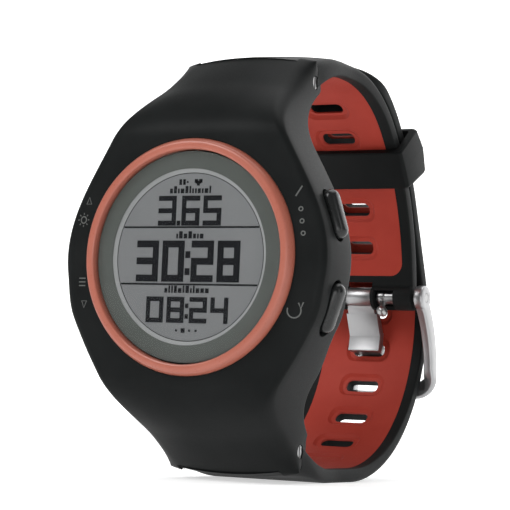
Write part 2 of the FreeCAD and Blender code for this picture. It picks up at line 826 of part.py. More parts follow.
def strap_half(line, out, thick, width, liner_end, slot_at, blind_at, tip, way):
    """One half of the strap and the coloured liner let into its wrist side."""
    total = sum(length_of(piece) for piece in line)
    pin = side(pin_at.y, pin_at.z * way)
    liner_from, corner = size("liner_start"), size("liner_corner")
    recess = strip(line, liner_from, liner_end, (-out, liner_thick * out), size("liner_width"),
                   corner)
    liner = strip(line, liner_from, liner_end, (0, liner_thick * out), size("liner_width"), corner)
    strap = strip(line, 0, total, (0, thick * out), width, tip) if tip else band(
        line, 0, thick * out, width)
    strap = narrow_end(strap, way)
    strap = strap.fuse(side_rod(size("eye_radius"), pin, -half_width(), half_width()))
    strap = strap.cut(side_rod(size("pin_radius") + 0.1, pin, -width, width))
    cuts = slot_cuts(line, out, slot_at, thick) + recess_cuts(line, out, blind_at)
    strap = strap.cut([recess] + cuts)
    return strap, liner.cut(cuts)


def upper_strap():
    """The half that carries the buckle, its end wrapped round the buckle bar."""
    slot_at = [upper_long - size("first_slot") - step * size("slot_pitch") for step in range(6)]
    strap, liner = strap_half(upper_line, -1, strap_thick, size("strap_width"),
                              upper_long - size("liner_stop"), slot_at, [], 0, 1)
    half = size("strap_width") / 2
    eye = side_rod(size("eye_radius"), bar_at, -half, half)
    strap = strap.fuse(eye)
    notch = size("tongue_width") / 2 + 0.25
    past = size("eye_radius") + 0.6
    knob = size("knob_offset")
    window = (knob - 1.05, knob + size("knob_travel") + 1.75)
    cuts = [
        side_rod(size("bar_radius") + size("bar_play"), bar_at, -half - 1, half + 1),
        side_rod(past, bar_at, -notch, notch),
        slab(straight([bar_at + side(-past, 0), bar_at + side(past, 0), bar_at + side(past, -past),
                       bar_at + side(-past, -past)]), -notch, notch),
        side_rod(1.75, bar_at, window[0], window[1]),
        slab(straight([bar_at + side(-4, -1.2), bar_at + side(0, -1.2), bar_at + side(0, 1.2),
                       bar_at + side(-4, 1.2)]), window[0], window[1]),
    ]
    return strap.cut(cuts), liner.cut(cuts)


def lower_strap():
    """The half with the adjusting holes, out through the buckle and round to its tip."""
    slot_at = [tongue_slot + step * size("slot_pitch") for step in range(-3, 7)]
    blind_at = [tongue_slot - 4 * size("slot_pitch")]
    return strap_half(lower_line, 1, tail_thick, size("tail_width"),
                      lower_long - size("tip_border"), slot_at, blind_at, size("tip_corner"), -1)


for label, (strap, liner) in (("upper", upper_strap()), ("lower", lower_strap())):
    solid(f"{label}_strap", strap)
    solid(f"{label}_liner", liner)

for label, way in (("upper", 1), ("lower", -1)):
    cross_pin(f"{label}_lug_pin", "pin_radius", "lug_width - 2.4", pin_at.y, pin_at.z * way)


def pin_screws(way):
    """The two slotted screw heads that hold a lug pin."""
    centre = side(pin_at.y, pin_at.z * way)
    face, start = size("lug_width") / 2 - 0.05, size("lug_width") / 2 - 0.75
    heads = []
    for hand in (1, -1):
        ends = sorted((start * hand, face * hand))
        head = side_rod(size("screw_head"), centre, *ends)
        plug_end = sorted(((start - 0.4) * hand, start * hand))
        head = head.fuse(side_rod(size("pin_radius"), centre, *plug_end))
        slit = Part.makeBox(0.5, 0.4, 2 * size("screw_head"),
                            centre + Vector(face * hand - 0.25, -0.2, -size("screw_head")))
        heads.append(head.cut(slit))
    return heads


solid("lug_screws", Part.makeCompound(pin_screws(1) + pin_screws(-1)))

# ---------------------------------------------------------------- keeper

keeper_half = size("strap_width") / 2 + size("keeper_gap")


def sector(inner, outer, middle, span):
    """A side-view ring sector about the flank's centre, with angles in degrees."""
    low, high = math.radians(middle - span / 2), math.radians(middle + span / 2)
    at = math.radians(middle)

    def spot(radius, angle):
        return flank_centre + side(math.cos(angle), math.sin(angle)) * radius

    return [
        Part.Arc(spot(inner, low), spot(inner, at), spot(inner, high)).toShape(),
        Part.makeLine(spot(inner, high), spot(outer, high)),
        Part.makeLine(spot(outer, high), spot(outer + size("keeper_peak"), at)),
        Part.makeLine(spot(outer + size("keeper_peak"), at), spot(outer, low)),
        Part.makeLine(spot(outer, low), spot(inner, low)),
    ]


def keeper():
    """The loop that holds the tail, peaked along its outside."""
    gap, wall = size("keeper_gap"), size("keeper_wall")
    inner = size("flank_radius") - gap
    outer = tail_flank + tail_thick + gap + size("keeper_slack")
    span = math.degrees(size("keeper_length") / outer)
    half = keeper_half + wall
    body = slab(sector(inner - wall, outer + wall * 0.7, size("keeper_angle"), span), -half, half)
    hole = side_rod(outer, flank_centre, -keeper_half, keeper_half).cut(
        side_rod(inner, flank_centre, -keeper_half - 1, keeper_half + 1))
    return body.cut(hole)


solid("keeper", keeper())

# ---------------------------------------------------------------- buckle

reach_angle = math.radians(-size("crossbar_angle"))
crossbar_near = heel_radius + tail_thick + size("buckle_gap")
crossbar_mid = crossbar_near + size("crossbar_thick") / 2
crossbar_at = heel_centre + side(math.cos(reach_angle), math.sin(reach_angle)) * crossbar_mid
arm_in = size("strap_width") / 2 + 0.6
arm_out = arm_in + size("buckle_wall")


def ring_slab(low, high, begin, finish, left, right):
    """A side-view ring sector about the heel's centre, between two angles in degrees."""
    def spot(radius, angle):
        turn = math.radians(angle)
        return heel_centre + side(math.cos(turn), math.sin(turn)) * radius

    middle = (begin + finish) / 2
    return slab([
        Part.Arc(spot(low, begin), spot(low, middle), spot(low, finish)).toShape(),
        Part.makeLine(spot(low, finish), spot(high, finish)),
        Part.Arc(spot(high, finish), spot(high, middle), spot(high, begin)).toShape(),
        Part.makeLine(spot(high, begin), spot(low, begin)),
    ], left, right)


def buckle_frame():
    """Two curved arms from the bar to the crossbar, which is notched for the tongue."""
    chord = crossbar_at - bar_at
    out = side(-chord.z, chord.y)
    out.normalize()
    middle = bar_at + chord * 0.5 + out * (1.8 if out.y > 0 else -1.8)
    half = size("arm_width") / 2
    spine = Part.Arc(bar_at, middle, crossbar_at).toShape().Curve
    centre = spine.Center
    shapes = []
    for hand in (1, -1):
        left, right = sorted((arm_in * hand, arm_out * hand))
        near, far = spine.Radius - half, spine.Radius + half
        rays = [(point - centre).normalize() for point in (bar_at, middle, crossbar_at)]
        arm = slab([
            Part.Arc(*[centre + ray * near for ray in rays]).toShape(),
            Part.makeLine(centre + rays[2] * near, centre + rays[2] * far),
            Part.Arc(*[centre + ray * far for ray in rays]).toShape(),
            Part.makeLine(centre + rays[0] * far, centre + rays[0] * near),
        ], left, right)
        shapes.append(arm)
        shapes.append(side_rod(half + 0.45, bar_at, left, right))
        shapes.append(side_rod(half, crossbar_at, left, right))
    span = math.degrees(size("crossbar_long") / crossbar_mid)
    angle = math.degrees(reach_angle)
    bar = ring_slab(crossbar_near, crossbar_near + size("crossbar_thick"), angle - span / 2,
                    angle + span / 2, -arm_out, arm_out)
    frame = bar.fuse(shapes)
    notch = size("tongue_width") / 2 + 0.25
    cuts = [
        side_rod(size("bar_radius") + size("bar_play"), bar_at, -arm_out - 1, arm_out + 1),
        ring_slab(crossbar_near - 1, crossbar_near + size("crossbar_thick") + 2,
                  angle - size("notch_below"), angle + span, -notch, notch),
    ]
    strap_room = side_rod(crossbar_near, heel_centre, -arm_in, arm_in)
    return frame.cut(cuts).cut(strap_room)


def tongue():
    """A barrel on the bar, a flat plate inside the strap, a riser, and a finger outside it."""
    half = size("tongue_width") / 2
    thick = size("tongue_thick")
    angle = -size("tongue_angle")
    inside = heel_radius - size("buckle_gap") - 0.25
    outside = crossbar_near + 0.1
    step = math.degrees(thick * 0.5 / heel_radius)
    plate_top = math.degrees(math.asin(3.2 / heel_radius)) * -1
    plate = ring_slab(inside - thick, inside, plate_top, angle - step, -half, half)
    riser = ring_slab(inside - 0.1, outside + thick - 0.2, angle + step, angle - step, -half, half)
    span = math.degrees(size("crossbar_long") / crossbar_mid)
    finger = ring_slab(outside, outside + thick - 0.2, angle + step,
                       math.degrees(reach_angle) + size("finger_short"), -half, half)
    top = heel_centre + side(math.cos(math.radians(plate_top)),
                             math.sin(math.radians(plate_top))) * (inside - thick / 2)
    along = top - bar_at
    along.normalize()
    off = side(-along.z, along.y) * (thick / 2)
    past = top + along * 0.9
    link = slab(straight([bar_at + off, past + off, past - off, bar_at - off]), -half, half)
    barrel = side_rod(1.7, bar_at, -half, half)
    shape = barrel.fuse([plate, riser, finger, link])
    return shape.cut(side_rod(size("bar_radius") + size("bar_play"), bar_at, -half - 1, half + 1))


def knob_at(left, right, inner, outer):
    knob = size("knob_offset")
    return side_rod(outer, bar_at, knob + left, knob + right).cut(
        side_rod(inner, bar_at, knob + left - 1, knob + right + 1))


def release_knob():
    """The small ball on a collar that draws the bar's plunger in."""
    knob = size("knob_offset")
    collar = knob_at(-0.8, 0.8, size("bar_radius") + size("bar_play"), 1.4)
    start = bar_at + Vector(knob, -1.0, 0)
    post = rod(0.55, start, start + Vector(0, -2.2, 0))
    ball = Part.makeSphere(1.05, start + Vector(0, -2.6, 0))
    return collar.fuse([post, ball])


solid("buckle_frame", buckle_frame())
solid("buckle_tongue", tongue())
cross_pin("buckle_bar", "bar_radius", f"{2 * arm_out}", bar_at.y, bar_at.z)
solid("release_knob", release_knob())
solid("knob_spring", knob_at(0.8, size("knob_travel") + 1.7, size("bar_radius") + 0.1, 1.3))

# ---------------------------------------------------------------- check, place and write

doc.recompute()
for thing in doc.Objects:
    troubles = [word for word in thing.State if word in ("Invalid", "Error")]
    if troubles:
        raise RuntimeError(f"{thing.Name} is {troubles}")
whole = None
for thing in nodes:
    shape = thing.Shape
    if shape.isNull() or not shape.isValid() or shape.Volume <= 0:
        raise RuntimeError(f"{thing.Label} has no valid shape")
    box = shape.optimalBoundingBox()
    whole = box if whole is None else whole.united(box)
stand = Placement(Vector(-whole.Center.x, -whole.Center.y, -whole.ZMin), Rotation())
for thing in nodes:
    thing.Placement = stand.multiply(thing.Placement)
doc.recompute()

os.makedirs("parts", exist_ok=True)
for thing in nodes:
    thing.Shape.exportStep(f"parts/{thing.Label}.step")
print(f"{len(nodes)} pieces, {whole.XLength:.2f} x {whole.YLength:.2f} x {whole.ZLength:.2f} mm")
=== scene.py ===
"""Looks of the running watch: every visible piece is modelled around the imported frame.

Shapes are worked out in millimetres from the middle of the face (x to 3 o'clock, y back
from the front of the accent ring, z to 12 o'clock) and put in place by at().
"""
import math
import random

import bmesh
import bpy
from mathutils import Matrix, Vector


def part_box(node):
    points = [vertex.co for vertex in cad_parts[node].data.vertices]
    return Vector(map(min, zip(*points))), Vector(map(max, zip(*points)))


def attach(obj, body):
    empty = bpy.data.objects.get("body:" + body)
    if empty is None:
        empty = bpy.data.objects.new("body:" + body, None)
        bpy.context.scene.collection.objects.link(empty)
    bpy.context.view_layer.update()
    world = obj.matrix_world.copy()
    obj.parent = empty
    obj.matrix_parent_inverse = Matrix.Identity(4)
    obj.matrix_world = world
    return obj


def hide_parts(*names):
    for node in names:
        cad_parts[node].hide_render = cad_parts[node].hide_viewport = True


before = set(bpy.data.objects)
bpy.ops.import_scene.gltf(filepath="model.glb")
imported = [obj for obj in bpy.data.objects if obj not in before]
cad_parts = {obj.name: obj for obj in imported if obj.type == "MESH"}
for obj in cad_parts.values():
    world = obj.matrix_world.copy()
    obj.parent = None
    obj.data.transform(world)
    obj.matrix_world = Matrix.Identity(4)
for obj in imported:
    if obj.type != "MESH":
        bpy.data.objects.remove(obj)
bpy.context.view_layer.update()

MM = 0.001
ring_low, ring_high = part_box("accent_ring")
FACE = Vector((0.0, ring_low.y, (ring_low.z + ring_high.z) / 2))


def at(x, y, z):
    """A point given in millimetres from the middle of the face, in metres in the row frame."""
    return FACE + Vector((x, y, z)) * MM


def show(thing):
    """Put an object in the scene."""
    bpy.context.scene.collection.objects.link(thing)


def put(node, **values):
    """Set a node's inputs; an underscore in a name stands for a space."""
    for name, value in values.items():
        node.inputs[name.replace("_", " ")].default_value = value


# ---- camera, floor and lights

CAMERA_TURN = math.radians(28.8)
CAMERA_LIFT = math.radians(-4.0)
CAMERA_ROLL = math.radians(2.5)
CAMERA_AWAY, CAMERA_ASIDE, CAMERA_RISE = 330.0, 11.28, 0.16
LENS, SENSOR = 147.0, 36.0


def make_camera():
    """Aim the camera at the watch from its right, a little from below."""
    out = Vector((math.sin(CAMERA_TURN) * math.cos(CAMERA_LIFT),
                  -math.cos(CAMERA_TURN) * math.cos(CAMERA_LIFT), math.sin(CAMERA_LIFT)))
    level = Vector((math.cos(CAMERA_TURN), math.sin(CAMERA_TURN), 0.0))
    up = out.cross(level)
    right = level * math.cos(CAMERA_ROLL) + up * math.sin(CAMERA_ROLL)
    up = up * math.cos(CAMERA_ROLL) - level * math.sin(CAMERA_ROLL)
    place = at(*(out * CAMERA_AWAY + right * CAMERA_ASIDE + up * CAMERA_RISE))
    data = bpy.data.cameras.new("camera")
    data.lens = LENS
    data.sensor_width = SENSOR
    data.clip_start = 0.01
    data.clip_end = 20.0
    camera = bpy.data.objects.new("camera", data)
    turn = Matrix((right, up, out)).transposed().to_4x4()
    camera.matrix_world = Matrix.Translation(place) @ turn
    show(camera)
    bpy.context.scene.camera = camera


def soft_light(name, place, aim, width, height, power):
    """One rectangular soft box, given in millimetres from the face."""
    data = bpy.data.lights.new(name, "AREA")
    data.shape = "RECTANGLE"
    data.size = width * MM
    data.size_y = height * MM
    data.energy = power
    light = bpy.data.objects.new(name, data)
    spot, target = at(*place), at(*aim)
    light.location = spot
    light.rotation_euler = (target - spot).to_track_quat("-Z", "Y").to_euler()
    show(light)


def make_stage():
    """A pale floor that runs up into a backdrop, soft boxes and an even white surround."""
    world = bpy.data.worlds.new("studio")
    bpy.context.scene.world = world
    world.use_nodes = True
    put(world.node_tree.nodes["Background"], Color=(1.0, 1.0, 1.0, 1.0), Strength=0.22)
    soft_light("key", (-200, -330, 330), (0, 20, 0), 260, 260, 1.5)
    soft_light("side", (360, -120, 60), (10, 20, 0), 90, 320, 0.14)
    soft_light("top", (20, 120, 380), (0, 30, 0), 320, 260, 0.55)
    soft_light("fill", (160, -380, 0), (0, 20, 0), 240, 160, 0.35)
    soft_light("backdrop", (0, 1000, 1100), (0, 2300, 500), 2600, 900, 30.0)
    bpy.context.scene.view_settings.view_transform = "Standard"
    mesh = bpy.data.meshes.new("floor")
    reach, flat, bend, rise, steps = 3.0, 1.2, 0.8, 2.5, 12
    rows = [(-reach, 0.0), (flat, 0.0)]
    rows += [(flat + bend * math.sin(a), bend - bend * math.cos(a))
             for a in quarter(steps, 1)]
    rows.append((flat + bend, rise))
    verts = [(side * reach, y, z) for y, z in rows for side in (-1, 1)]
    faces = [(2 * k, 2 * k + 1, 2 * k + 3, 2 * k + 2) for k in range(len(rows) - 1)]
    mesh.from_pydata(verts, [], faces)
    floor = bpy.data.objects.new("floor", mesh)
    show(floor)
    smooth(floor, 60)
    paper = plain_finish("floor_paper", (0.86, 0.86, 0.86), 0.9)
    put(paper.node_tree.nodes["Principled BSDF"], Emission_Color=(1.0, 1.0, 1.0, 1.0),
        Emission_Strength=0.55)
    floor.data.materials.append(paper)


# ---- materials

RELIEF_DEPTH = 0.0001


def new_material(name):
    """A material with one Principled shader; returns it with its tree and that shader."""
    material = bpy.data.materials.new(name)
    material.use_nodes = True
    tree = material.node_tree
    return material, tree, tree.nodes["Principled BSDF"]


def grain(tree, scale, detail, stretch=(1.0, 1.0, 1.0)):
    """Noise on object coordinates; scale is in grains per metre."""
    coordinates = tree.nodes.new("ShaderNodeTexCoord")
    mapping = tree.nodes.new("ShaderNodeMapping")
    put(mapping, Scale=stretch)
    noise = tree.nodes.new("ShaderNodeTexNoise")
    put(noise, Scale=scale, Detail=detail, Roughness=0.55)
    tree.links.new(coordinates.outputs["Object"], mapping.inputs["Vector"])
    tree.links.new(mapping.outputs["Vector"], noise.inputs["Vector"])
    return noise.outputs["Fac"]


def ramp(tree, source, low, high):
    """Spread a 0 to 1 value between two colours or two numbers."""
    node = tree.nodes.new("ShaderNodeValToRGB")
    node.color_ramp.elements[0].position = 0.3
    node.color_ramp.elements[1].position = 0.7
    for element, value in zip(node.color_ramp.elements, (low, high)):
        element.color = (*value, 1.0) if isinstance(value, tuple) else (value, value, value, 1.0)
    tree.links.new(source, node.inputs["Fac"])
    return node.outputs["Color"]


def bump(tree, shader, source, height):
    """Fine relief from a noise."""
    node = tree.nodes.new("ShaderNodeBump")
    put(node, Strength=height, Distance=RELIEF_DEPTH)
    tree.links.new(source, node.inputs["Height"])
    tree.links.new(node.outputs["Normal"], shader.inputs["Normal"])


def finish(name, dark, light, rough, grains, relief, metallic=0.0, sheen=0.0, coat=0.0,
           specular=0.5, patches=90.0, stretch=(1.0, 1.0, 1.0)):
    """A moulded, rubbed or brushed finish: cloudy colour, uneven gloss and fine relief."""
    material, tree, shader = new_material(name)
    cloud = grain(tree, patches, 5.0)
    tree.links.new(ramp(tree, cloud, dark, light), shader.inputs["Base Color"])
    fine = grain(tree, grains, 3.0, stretch)
    tree.links.new(ramp(tree, fine, rough[0], rough[1]), shader.inputs["Roughness"])
    bump(tree, shader, fine, relief)
    put(shader, Metallic=metallic, Specular_IOR_Level=specular, Sheen_Weight=sheen,
        Sheen_Roughness=0.5, Coat_Weight=coat, Coat_Roughness=0.25)
    return material


def plain_finish(name, colour, rough):
    """A quiet matt finish with a trace of cloudiness."""
    darker = tuple(part * 0.96 for part in colour)
    return finish(name, darker, colour, (rough - 0.05, rough), 900.0, 0.02, specular=0.1)


def glass_finish():
    """The watch glass: nearly clear, with a clean reflection."""
    material, tree, shader = new_material("watch_glass")
    put(shader, Base_Color=(0.02, 0.025, 0.025, 1.0), Alpha=0.08, IOR=1.5, Specular_IOR_Level=0.5)
    smudge = grain(tree, 140.0, 6.0)
    tree.links.new(ramp(tree, smudge, 0.03, 0.09), shader.inputs["Roughness"])
    return material


FINISHES = {}


def make_materials():
    """Every finish of the watch, by the name that the pieces use."""
    FINISHES.update(
        case=finish("case_resin", (0.007, 0.008, 0.008), (0.011, 0.012, 0.012), (0.40, 0.50),
                    5200.0, 0.04, specular=0.06),
        strap=finish("strap_silicone", (0.007, 0.008, 0.008), (0.012, 0.013, 0.013),
                     (0.48, 0.60), 4200.0, 0.06, specular=0.08, sheen=0.02),
        liner=finish("liner_silicone", (0.35, 0.034, 0.020), (0.42, 0.048, 0.030),
                     (0.52, 0.64), 3800.0, 0.06, specular=0.18, sheen=0.02),
        ring=finish("ring_lacquer", (0.36, 0.105, 0.070), (0.40, 0.125, 0.085), (0.26, 0.36),
                    3000.0, 0.010, coat=0.2, specular=0.35),
        glass=glass_finish(),
        mask=finish("mask_print", (0.075, 0.085, 0.076), (0.090, 0.100, 0.092), (0.30, 0.40),
                    2600.0, 0.05),
        bezel=finish("bezel_silver", (0.30, 0.31, 0.31), (0.34, 0.35, 0.35), (0.45, 0.55),
                     2600.0, 0.08),
        display=finish("display_sheet", (0.175, 0.182, 0.186), (0.192, 0.199, 0.203),
                       (0.50, 0.60), 7000.0, 0.06),
        ink=plain_finish("display_ink", (0.006, 0.006, 0.008), 0.6),
        mark=plain_finish("case_marks", (0.12, 0.125, 0.12), 0.42),
        button=finish("button_resin", (0.008, 0.009, 0.009), (0.012, 0.013, 0.013),
                      (0.20, 0.26), 1500.0, 0.002, specular=0.4),
        steel=finish("satin_steel", (0.36, 0.36, 0.365), (0.44, 0.44, 0.445), (0.30, 0.42),
                     2600.0, 0.008, metallic=0.92, stretch=(1.0, 6.0, 6.0)),
        dark_steel=finish("turned_steel", (0.34, 0.34, 0.34), (0.44, 0.44, 0.44),
                          (0.28, 0.40), 2400.0, 0.012, metallic=1.0),
        cover=finish("cover_resin", (0.024, 0.025, 0.026), (0.034, 0.035, 0.036),
                     (0.48, 0.62), 6500.0, 0.30),
        gold=finish("contact_plating", (0.78, 0.56, 0.24), (0.86, 0.64, 0.30), (0.20, 0.32),
                    1500.0, 0.05, metallic=1.0),
        seal=plain_finish("seal_rubber", (0.02, 0.02, 0.02), 0.7),
        board=finish("board_resist", (0.010, 0.10, 0.045), (0.02, 0.14, 0.06), (0.30, 0.45),
                     2600.0, 0.10, patches=420.0),
        foil=finish("battery_foil", (0.55, 0.56, 0.58), (0.66, 0.67, 0.69), (0.25, 0.45),
                    700.0, 0.30, metallic=1.0),
        copper=finish("antenna_copper", (0.70, 0.36, 0.22), (0.80, 0.45, 0.28), (0.25, 0.38),
                      1200.0, 0.08, metallic=1.0),
        clear=finish("light_guide", (0.74, 0.78, 0.76), (0.82, 0.86, 0.84), (0.20, 0.30),
                     1800.0, 0.04),
    )


# ---- mesh tools

ROUND_STEPS = 160


def smooth(thing, degrees=35.0):
    """Shade smooth, with edges sharper than an angle kept crisp."""
    for face in thing.data.polygons:
        face.use_smooth = True
    thing.data.set_sharp_from_angle(angle=math.radians(degrees))


def from_bmesh(name, shape):
    """A new object at the origin from a bmesh, with outward normals."""
    bmesh.ops.recalc_face_normals(shape, faces=shape.faces)
    mesh = bpy.data.meshes.new(name)
    shape.to_mesh(mesh)
    shape.free()
    thing = bpy.data.objects.new(name, mesh)
    show(thing)
    return thing


def skin(name, rows, ring=False):
    """A closed surface through looped rows of points in millimetres.

    ring joins the last row to the first; without it both ends are capped.
    """
    shape = bmesh.new()
    grid = [[shape.verts.new(at(*point)) for point in row] for row in rows]
    total = len(rows[0])
    pairs = list(zip(grid, grid[1:])) + ([(grid[-1], grid[0])] if ring else [])
    for near, far in pairs:
        for k in range(total):
            n = (k + 1) % total
            shape.faces.new((near[k], near[n], far[n], far[k]))
    if not ring:
        shape.faces.new(list(reversed(grid[0])))
        shape.faces.new(grid[-1])
    bmesh.ops.remove_doubles(shape, verts=shape.verts, dist=2e-6)
    return from_bmesh(name, shape)


def settle(thing):
    """Turn the modifiers of a piece into plain mesh."""
    bpy.context.view_layer.update()
    graph = bpy.context.evaluated_depsgraph_get()
    mesh = bpy.data.meshes.new_from_object(thing.evaluated_get(graph))
    thing.modifiers.clear()
    thing.data = mesh
    return thing


def shaped_by(thing, tools, operation="DIFFERENCE"):
    """Cut a piece with tools, or join them to it, and remove the tools."""
    for tool in tools:
        change = thing.modifiers.new("shape", "BOOLEAN")
        change.operation = operation
        change.solver = "EXACT"
        change.object = tool
        settle(thing)
        bpy.data.objects.remove(tool)
    shape = bmesh.new()
    shape.from_mesh(thing.data)
    bmesh.ops.remove_doubles(shape, verts=shape.verts, dist=1e-6)
    bmesh.ops.dissolve_degenerate(shape, edges=shape.edges, dist=1e-6)
    shape.to_mesh(thing.data)
    shape.free()


def bevelled(thing, width, segments=3, degrees=30.0):
    """Round the edges of a piece that are sharper than an angle."""
    change = thing.modifiers.new("edges", "BEVEL")
    change.width = width * MM
    change.segments = segments
    change.limit_method = "ANGLE"
    change.angle_limit = math.radians(degrees)
    change.harden_normals = False
    settle(thing)


def circle_rows(profile, steps):
    """Rows of points that turn a (radius, depth) profile about the face axis."""
    rows = []
    for k in range(steps):
        turn = 2 * math.pi * k / steps
        rows.append([(r * math.sin(turn), y, r * math.cos(turn)) for r, y in profile])
    return rows


def turned(name, profile):
    """A ring or disc turned about the face axis from a closed (radius, depth) profile."""
    return skin(name, circle_rows(profile, ROUND_STEPS), ring=True)


def disc_tool(radius, front, back):
    """A plain cylinder about the face axis, to cut with."""
    turns = [2 * math.pi * k / ROUND_STEPS for k in range(ROUND_STEPS)]
    return skin("tool", [[(radius * math.sin(turn), y, radius * math.cos(turn)) for turn in turns]
                         for y in (front, back)])


def cross_rod(name, y, z, radius, left, right, steps=64, edge=0.0):
    """A round bar across the watch at a depth and height, with eased ends."""
    ends = [(left, radius), (right, radius)]
    if edge:
        ends = [(left, radius - edge), (left + edge * 0.3, radius - edge * 0.3),
                (left + edge, radius), (right - edge, radius),
                (right - edge * 0.3, radius - edge * 0.3), (right, radius - edge)]
    rows = []
    for x, r in ends:
        rows.append([(x, y + r * math.cos(2 * math.pi * k / steps),
                      z + r * math.sin(2 * math.pi * k / steps)) for k in range(steps)])
    return skin(name, rows)


def cross_block(name, corners, ends):
    """A block across the watch from its (depth, height) corners."""
    return skin(name, [[(x, y, z) for y, z in corners] for x in ends])


def quarter(steps, first=0):
    """Angles from the first step to the last of a quarter turn."""
    return [math.pi / 2 * k / steps for k in range(first, steps + 1)]


def ease(value, low, high):
    """0 below low, 1 above high, and a smooth step between."""
    share = min(max((value - low) / (high - low), 0.0), 1.0)
    return share * share * (3 - 2 * share)


def mixed(a, b, share):
    """A value a share of the way from a to b."""
    return a + (b - a) * share


def dress(thing, body, finish_name, nodes=(), crisp=None):
    """Give a piece its finish, its body and the CAD nodes that it stands for.

    crisp is the angle past which its edges stay sharp when it is shaded smooth.
    """
    if crisp:
        smooth(thing, crisp)
    thing.data.materials.clear()
    thing.data.materials.append(FINISHES[finish_name])
    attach(thing, body)
    if nodes:
        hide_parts(*nodes)


# ---- side lines of the strap


def walk(start, heading, moves):
    """A side-view line of straight runs and arcs; an arc is (radius, turn), left turns positive.

    Each piece is its length, the depth, height and heading of its start, and its bend.
    """
    pieces = []
    y, z = start
    angle = math.radians(heading)
    for move in moves:
        if len(move) == 1:
            long = move[0]
            pieces.append((long, y, z, angle, 0.0))
            y, z = y + math.cos(angle) * long, z + math.sin(angle) * long
            continue
        radius, turn = move[0], math.radians(move[1])
        long = abs(radius * turn)
        bend = turn / long
        pieces.append((long, y, z, angle, bend))
        after = angle + turn
        y += (math.sin(after) - math.sin(angle)) / bend
        z -= (math.cos(after) - math.cos(angle)) / bend
        angle = after
    return pieces


def along(line, distance, offset=0.0):
    """Depth, height and heading at a distance along a line, moved to the left by an offset."""
    for piece in line:
        if distance <= piece[0] or piece is line[-1]:
            break
        distance -= piece[0]
    _, y, z, angle, bend = piece
    now = angle + bend * distance
    if bend:
        y += (math.sin(now) - math.sin(angle)) / bend
        z -= (math.cos(now) - math.cos(angle)) / bend
    else:
        y, z = y + math.cos(angle) * distance, z + math.sin(angle) * distance
    return y - math.sin(now) * offset, z + math.cos(now) * offset, now


LUG_TURN = 34.95
UPPER_LINE = walk((20.2, 29.28), LUG_TURN,
                  [(22.316, -LUG_TURN), (3.0,), (21.5, -48.0), (45.0, -40.0)])
LOWER_LINE = walk((20.2, -29.28), -LUG_TURN,
                  [(22.316, LUG_TURN), (9.5,), (27.0, 90.0), (20.0, 22.49), (14.04,),
                   (47.7, 19.51), (24.2, 33.5)])
UPPER_LONG = sum(piece[0] for piece in UPPER_LINE)
LOWER_LONG = sum(piece[0] for piece in LOWER_LINE)
PIN_Y, PIN_Z = 19.5, 30.3
CROWN = 1.7
BAR_Y, BAR_Z = 64.758, -2.310
HEEL_Y, HEEL_Z = 42.5, -6.3
FLANK_Y, FLANK_Z = 18.54, -3.92
UPPER_THICK, LOWER_THICK = 2.5, 2.4
LINER_THICK, LINER_HALF = 0.8, 9.0
SLOT_PITCH, SLOT_WIDE, SLOT_HIGH = 7.1, 6.4, 2.4
HOLE_AT = 59.87
BAR_BORE = 0.81
TONGUE_HALF = 2.7
NOTCH_HALF = TONGUE_HALF + 0.25
KNOB_X = 4.6
KNOB_ROOM = (KNOB_X - 1.05, KNOB_X + 2.95)
STRAP_STEP = 0.6


def tip_half(half, left, corner):
    """Half width of a strip near an end with rounded corners; left is how far off the end is."""
    if not corner or left >= corner:
        return half
    return half - corner + math.sqrt(max(corner ** 2 - (corner - left) ** 2, 0.0))


def strip(name, line, out, begin, finish, low, high_at, half_at, arch_at, soft):
    """A flexible band along a line from one distance to another.

    out is 1 where the outside of the wrist loop is to the left of the line, else -1. low is
    the height of its inner face, high_at gives that of its outer face and half_at its half
    width at a distance; arch_at says how much of the crown is left there. soft holds the edge
    radii of the two faces, and how much softer the outer edge gets where it is arched.
    """
    count = max(int((finish - begin) / STRAP_STEP), 4)
    long = finish - begin
    stations = [begin + long * k / count for k in range(count + 1)]
    if half_at(finish) < half_at(begin) * 0.8:
        stations = [begin + long * (1 - math.cos(math.pi * k / count)) / 2 for k in range(count + 1)]
    rows = []
    for distance in stations:
        half = max(half_at(distance), 0.4)
        high = high_at(distance)
        section = []
        top = min(soft[1] + 1.8 * arch_at(distance) * soft[2], high * 0.7)
        for radius, height, up in ((soft[0], low, 1), (top, high, -1)):
            for turn in quarter(4)[::up]:
                section.append((half - radius * (1 - math.sin(turn)),
                                height + up * radius * (1 - math.cos(turn))))
        section += [((half - top) * k / 5, high) for k in range(4, -1, -1)]
        section += [(-x, lift) for x, lift in reversed(section[:-1])]
        rows.append([(x, *along(line, distance,
                                out * (lift + crown(x, arch_at(distance)) * (lift > high / 2)))[:2])
                     for x, lift in section])
    return skin(name, rows)


# ---- case

CASE_HALF, CASE_FRONT, CASE_BACK = 24.0, 1.2, 13.2
NECK_HALF, NECK_AT, NECK_SWELL = 12.0, 32.0, 5.9
FLAT_END, SLOPE_START, TIP_START = 19.4, 27.9, 33.3
SLOPE_DEPTH, SLOPE_RATE = 9.2, 1.61
BOSS_RADIUS = 3.4
RIM_SHARE, RIM_DROP = 0.93, 0.8
RING_SEAT, STACK_WELL, COVER_SEAT = 19.06, 18.0, 21.85
GAP_HALF, PIN_HOLE = 9.7, 1.15
BUTTON_LIFT, BUTTON_BACK, BUTTON_LONG, BUTTON_WIDE = 7.5, 8.0, 8.2, 3.2
BUTTON_PLACES = ("upper_right", "lower_right", "upper_left", "lower_left")


def ridge_half(height):
    """Half width of the case at its rounded ridge: wide at the middle, with hollow necks."""
    reach = min(abs(height), NECK_AT)
    fuller = 0.85 * ease(-height, 3.0, 10.0) * (1 - ease(-height, 15.0, 28.0))
    return NECK_HALF + NECK_SWELL * (1 + math.cos(math.pi * reach / NECK_AT)) + fuller


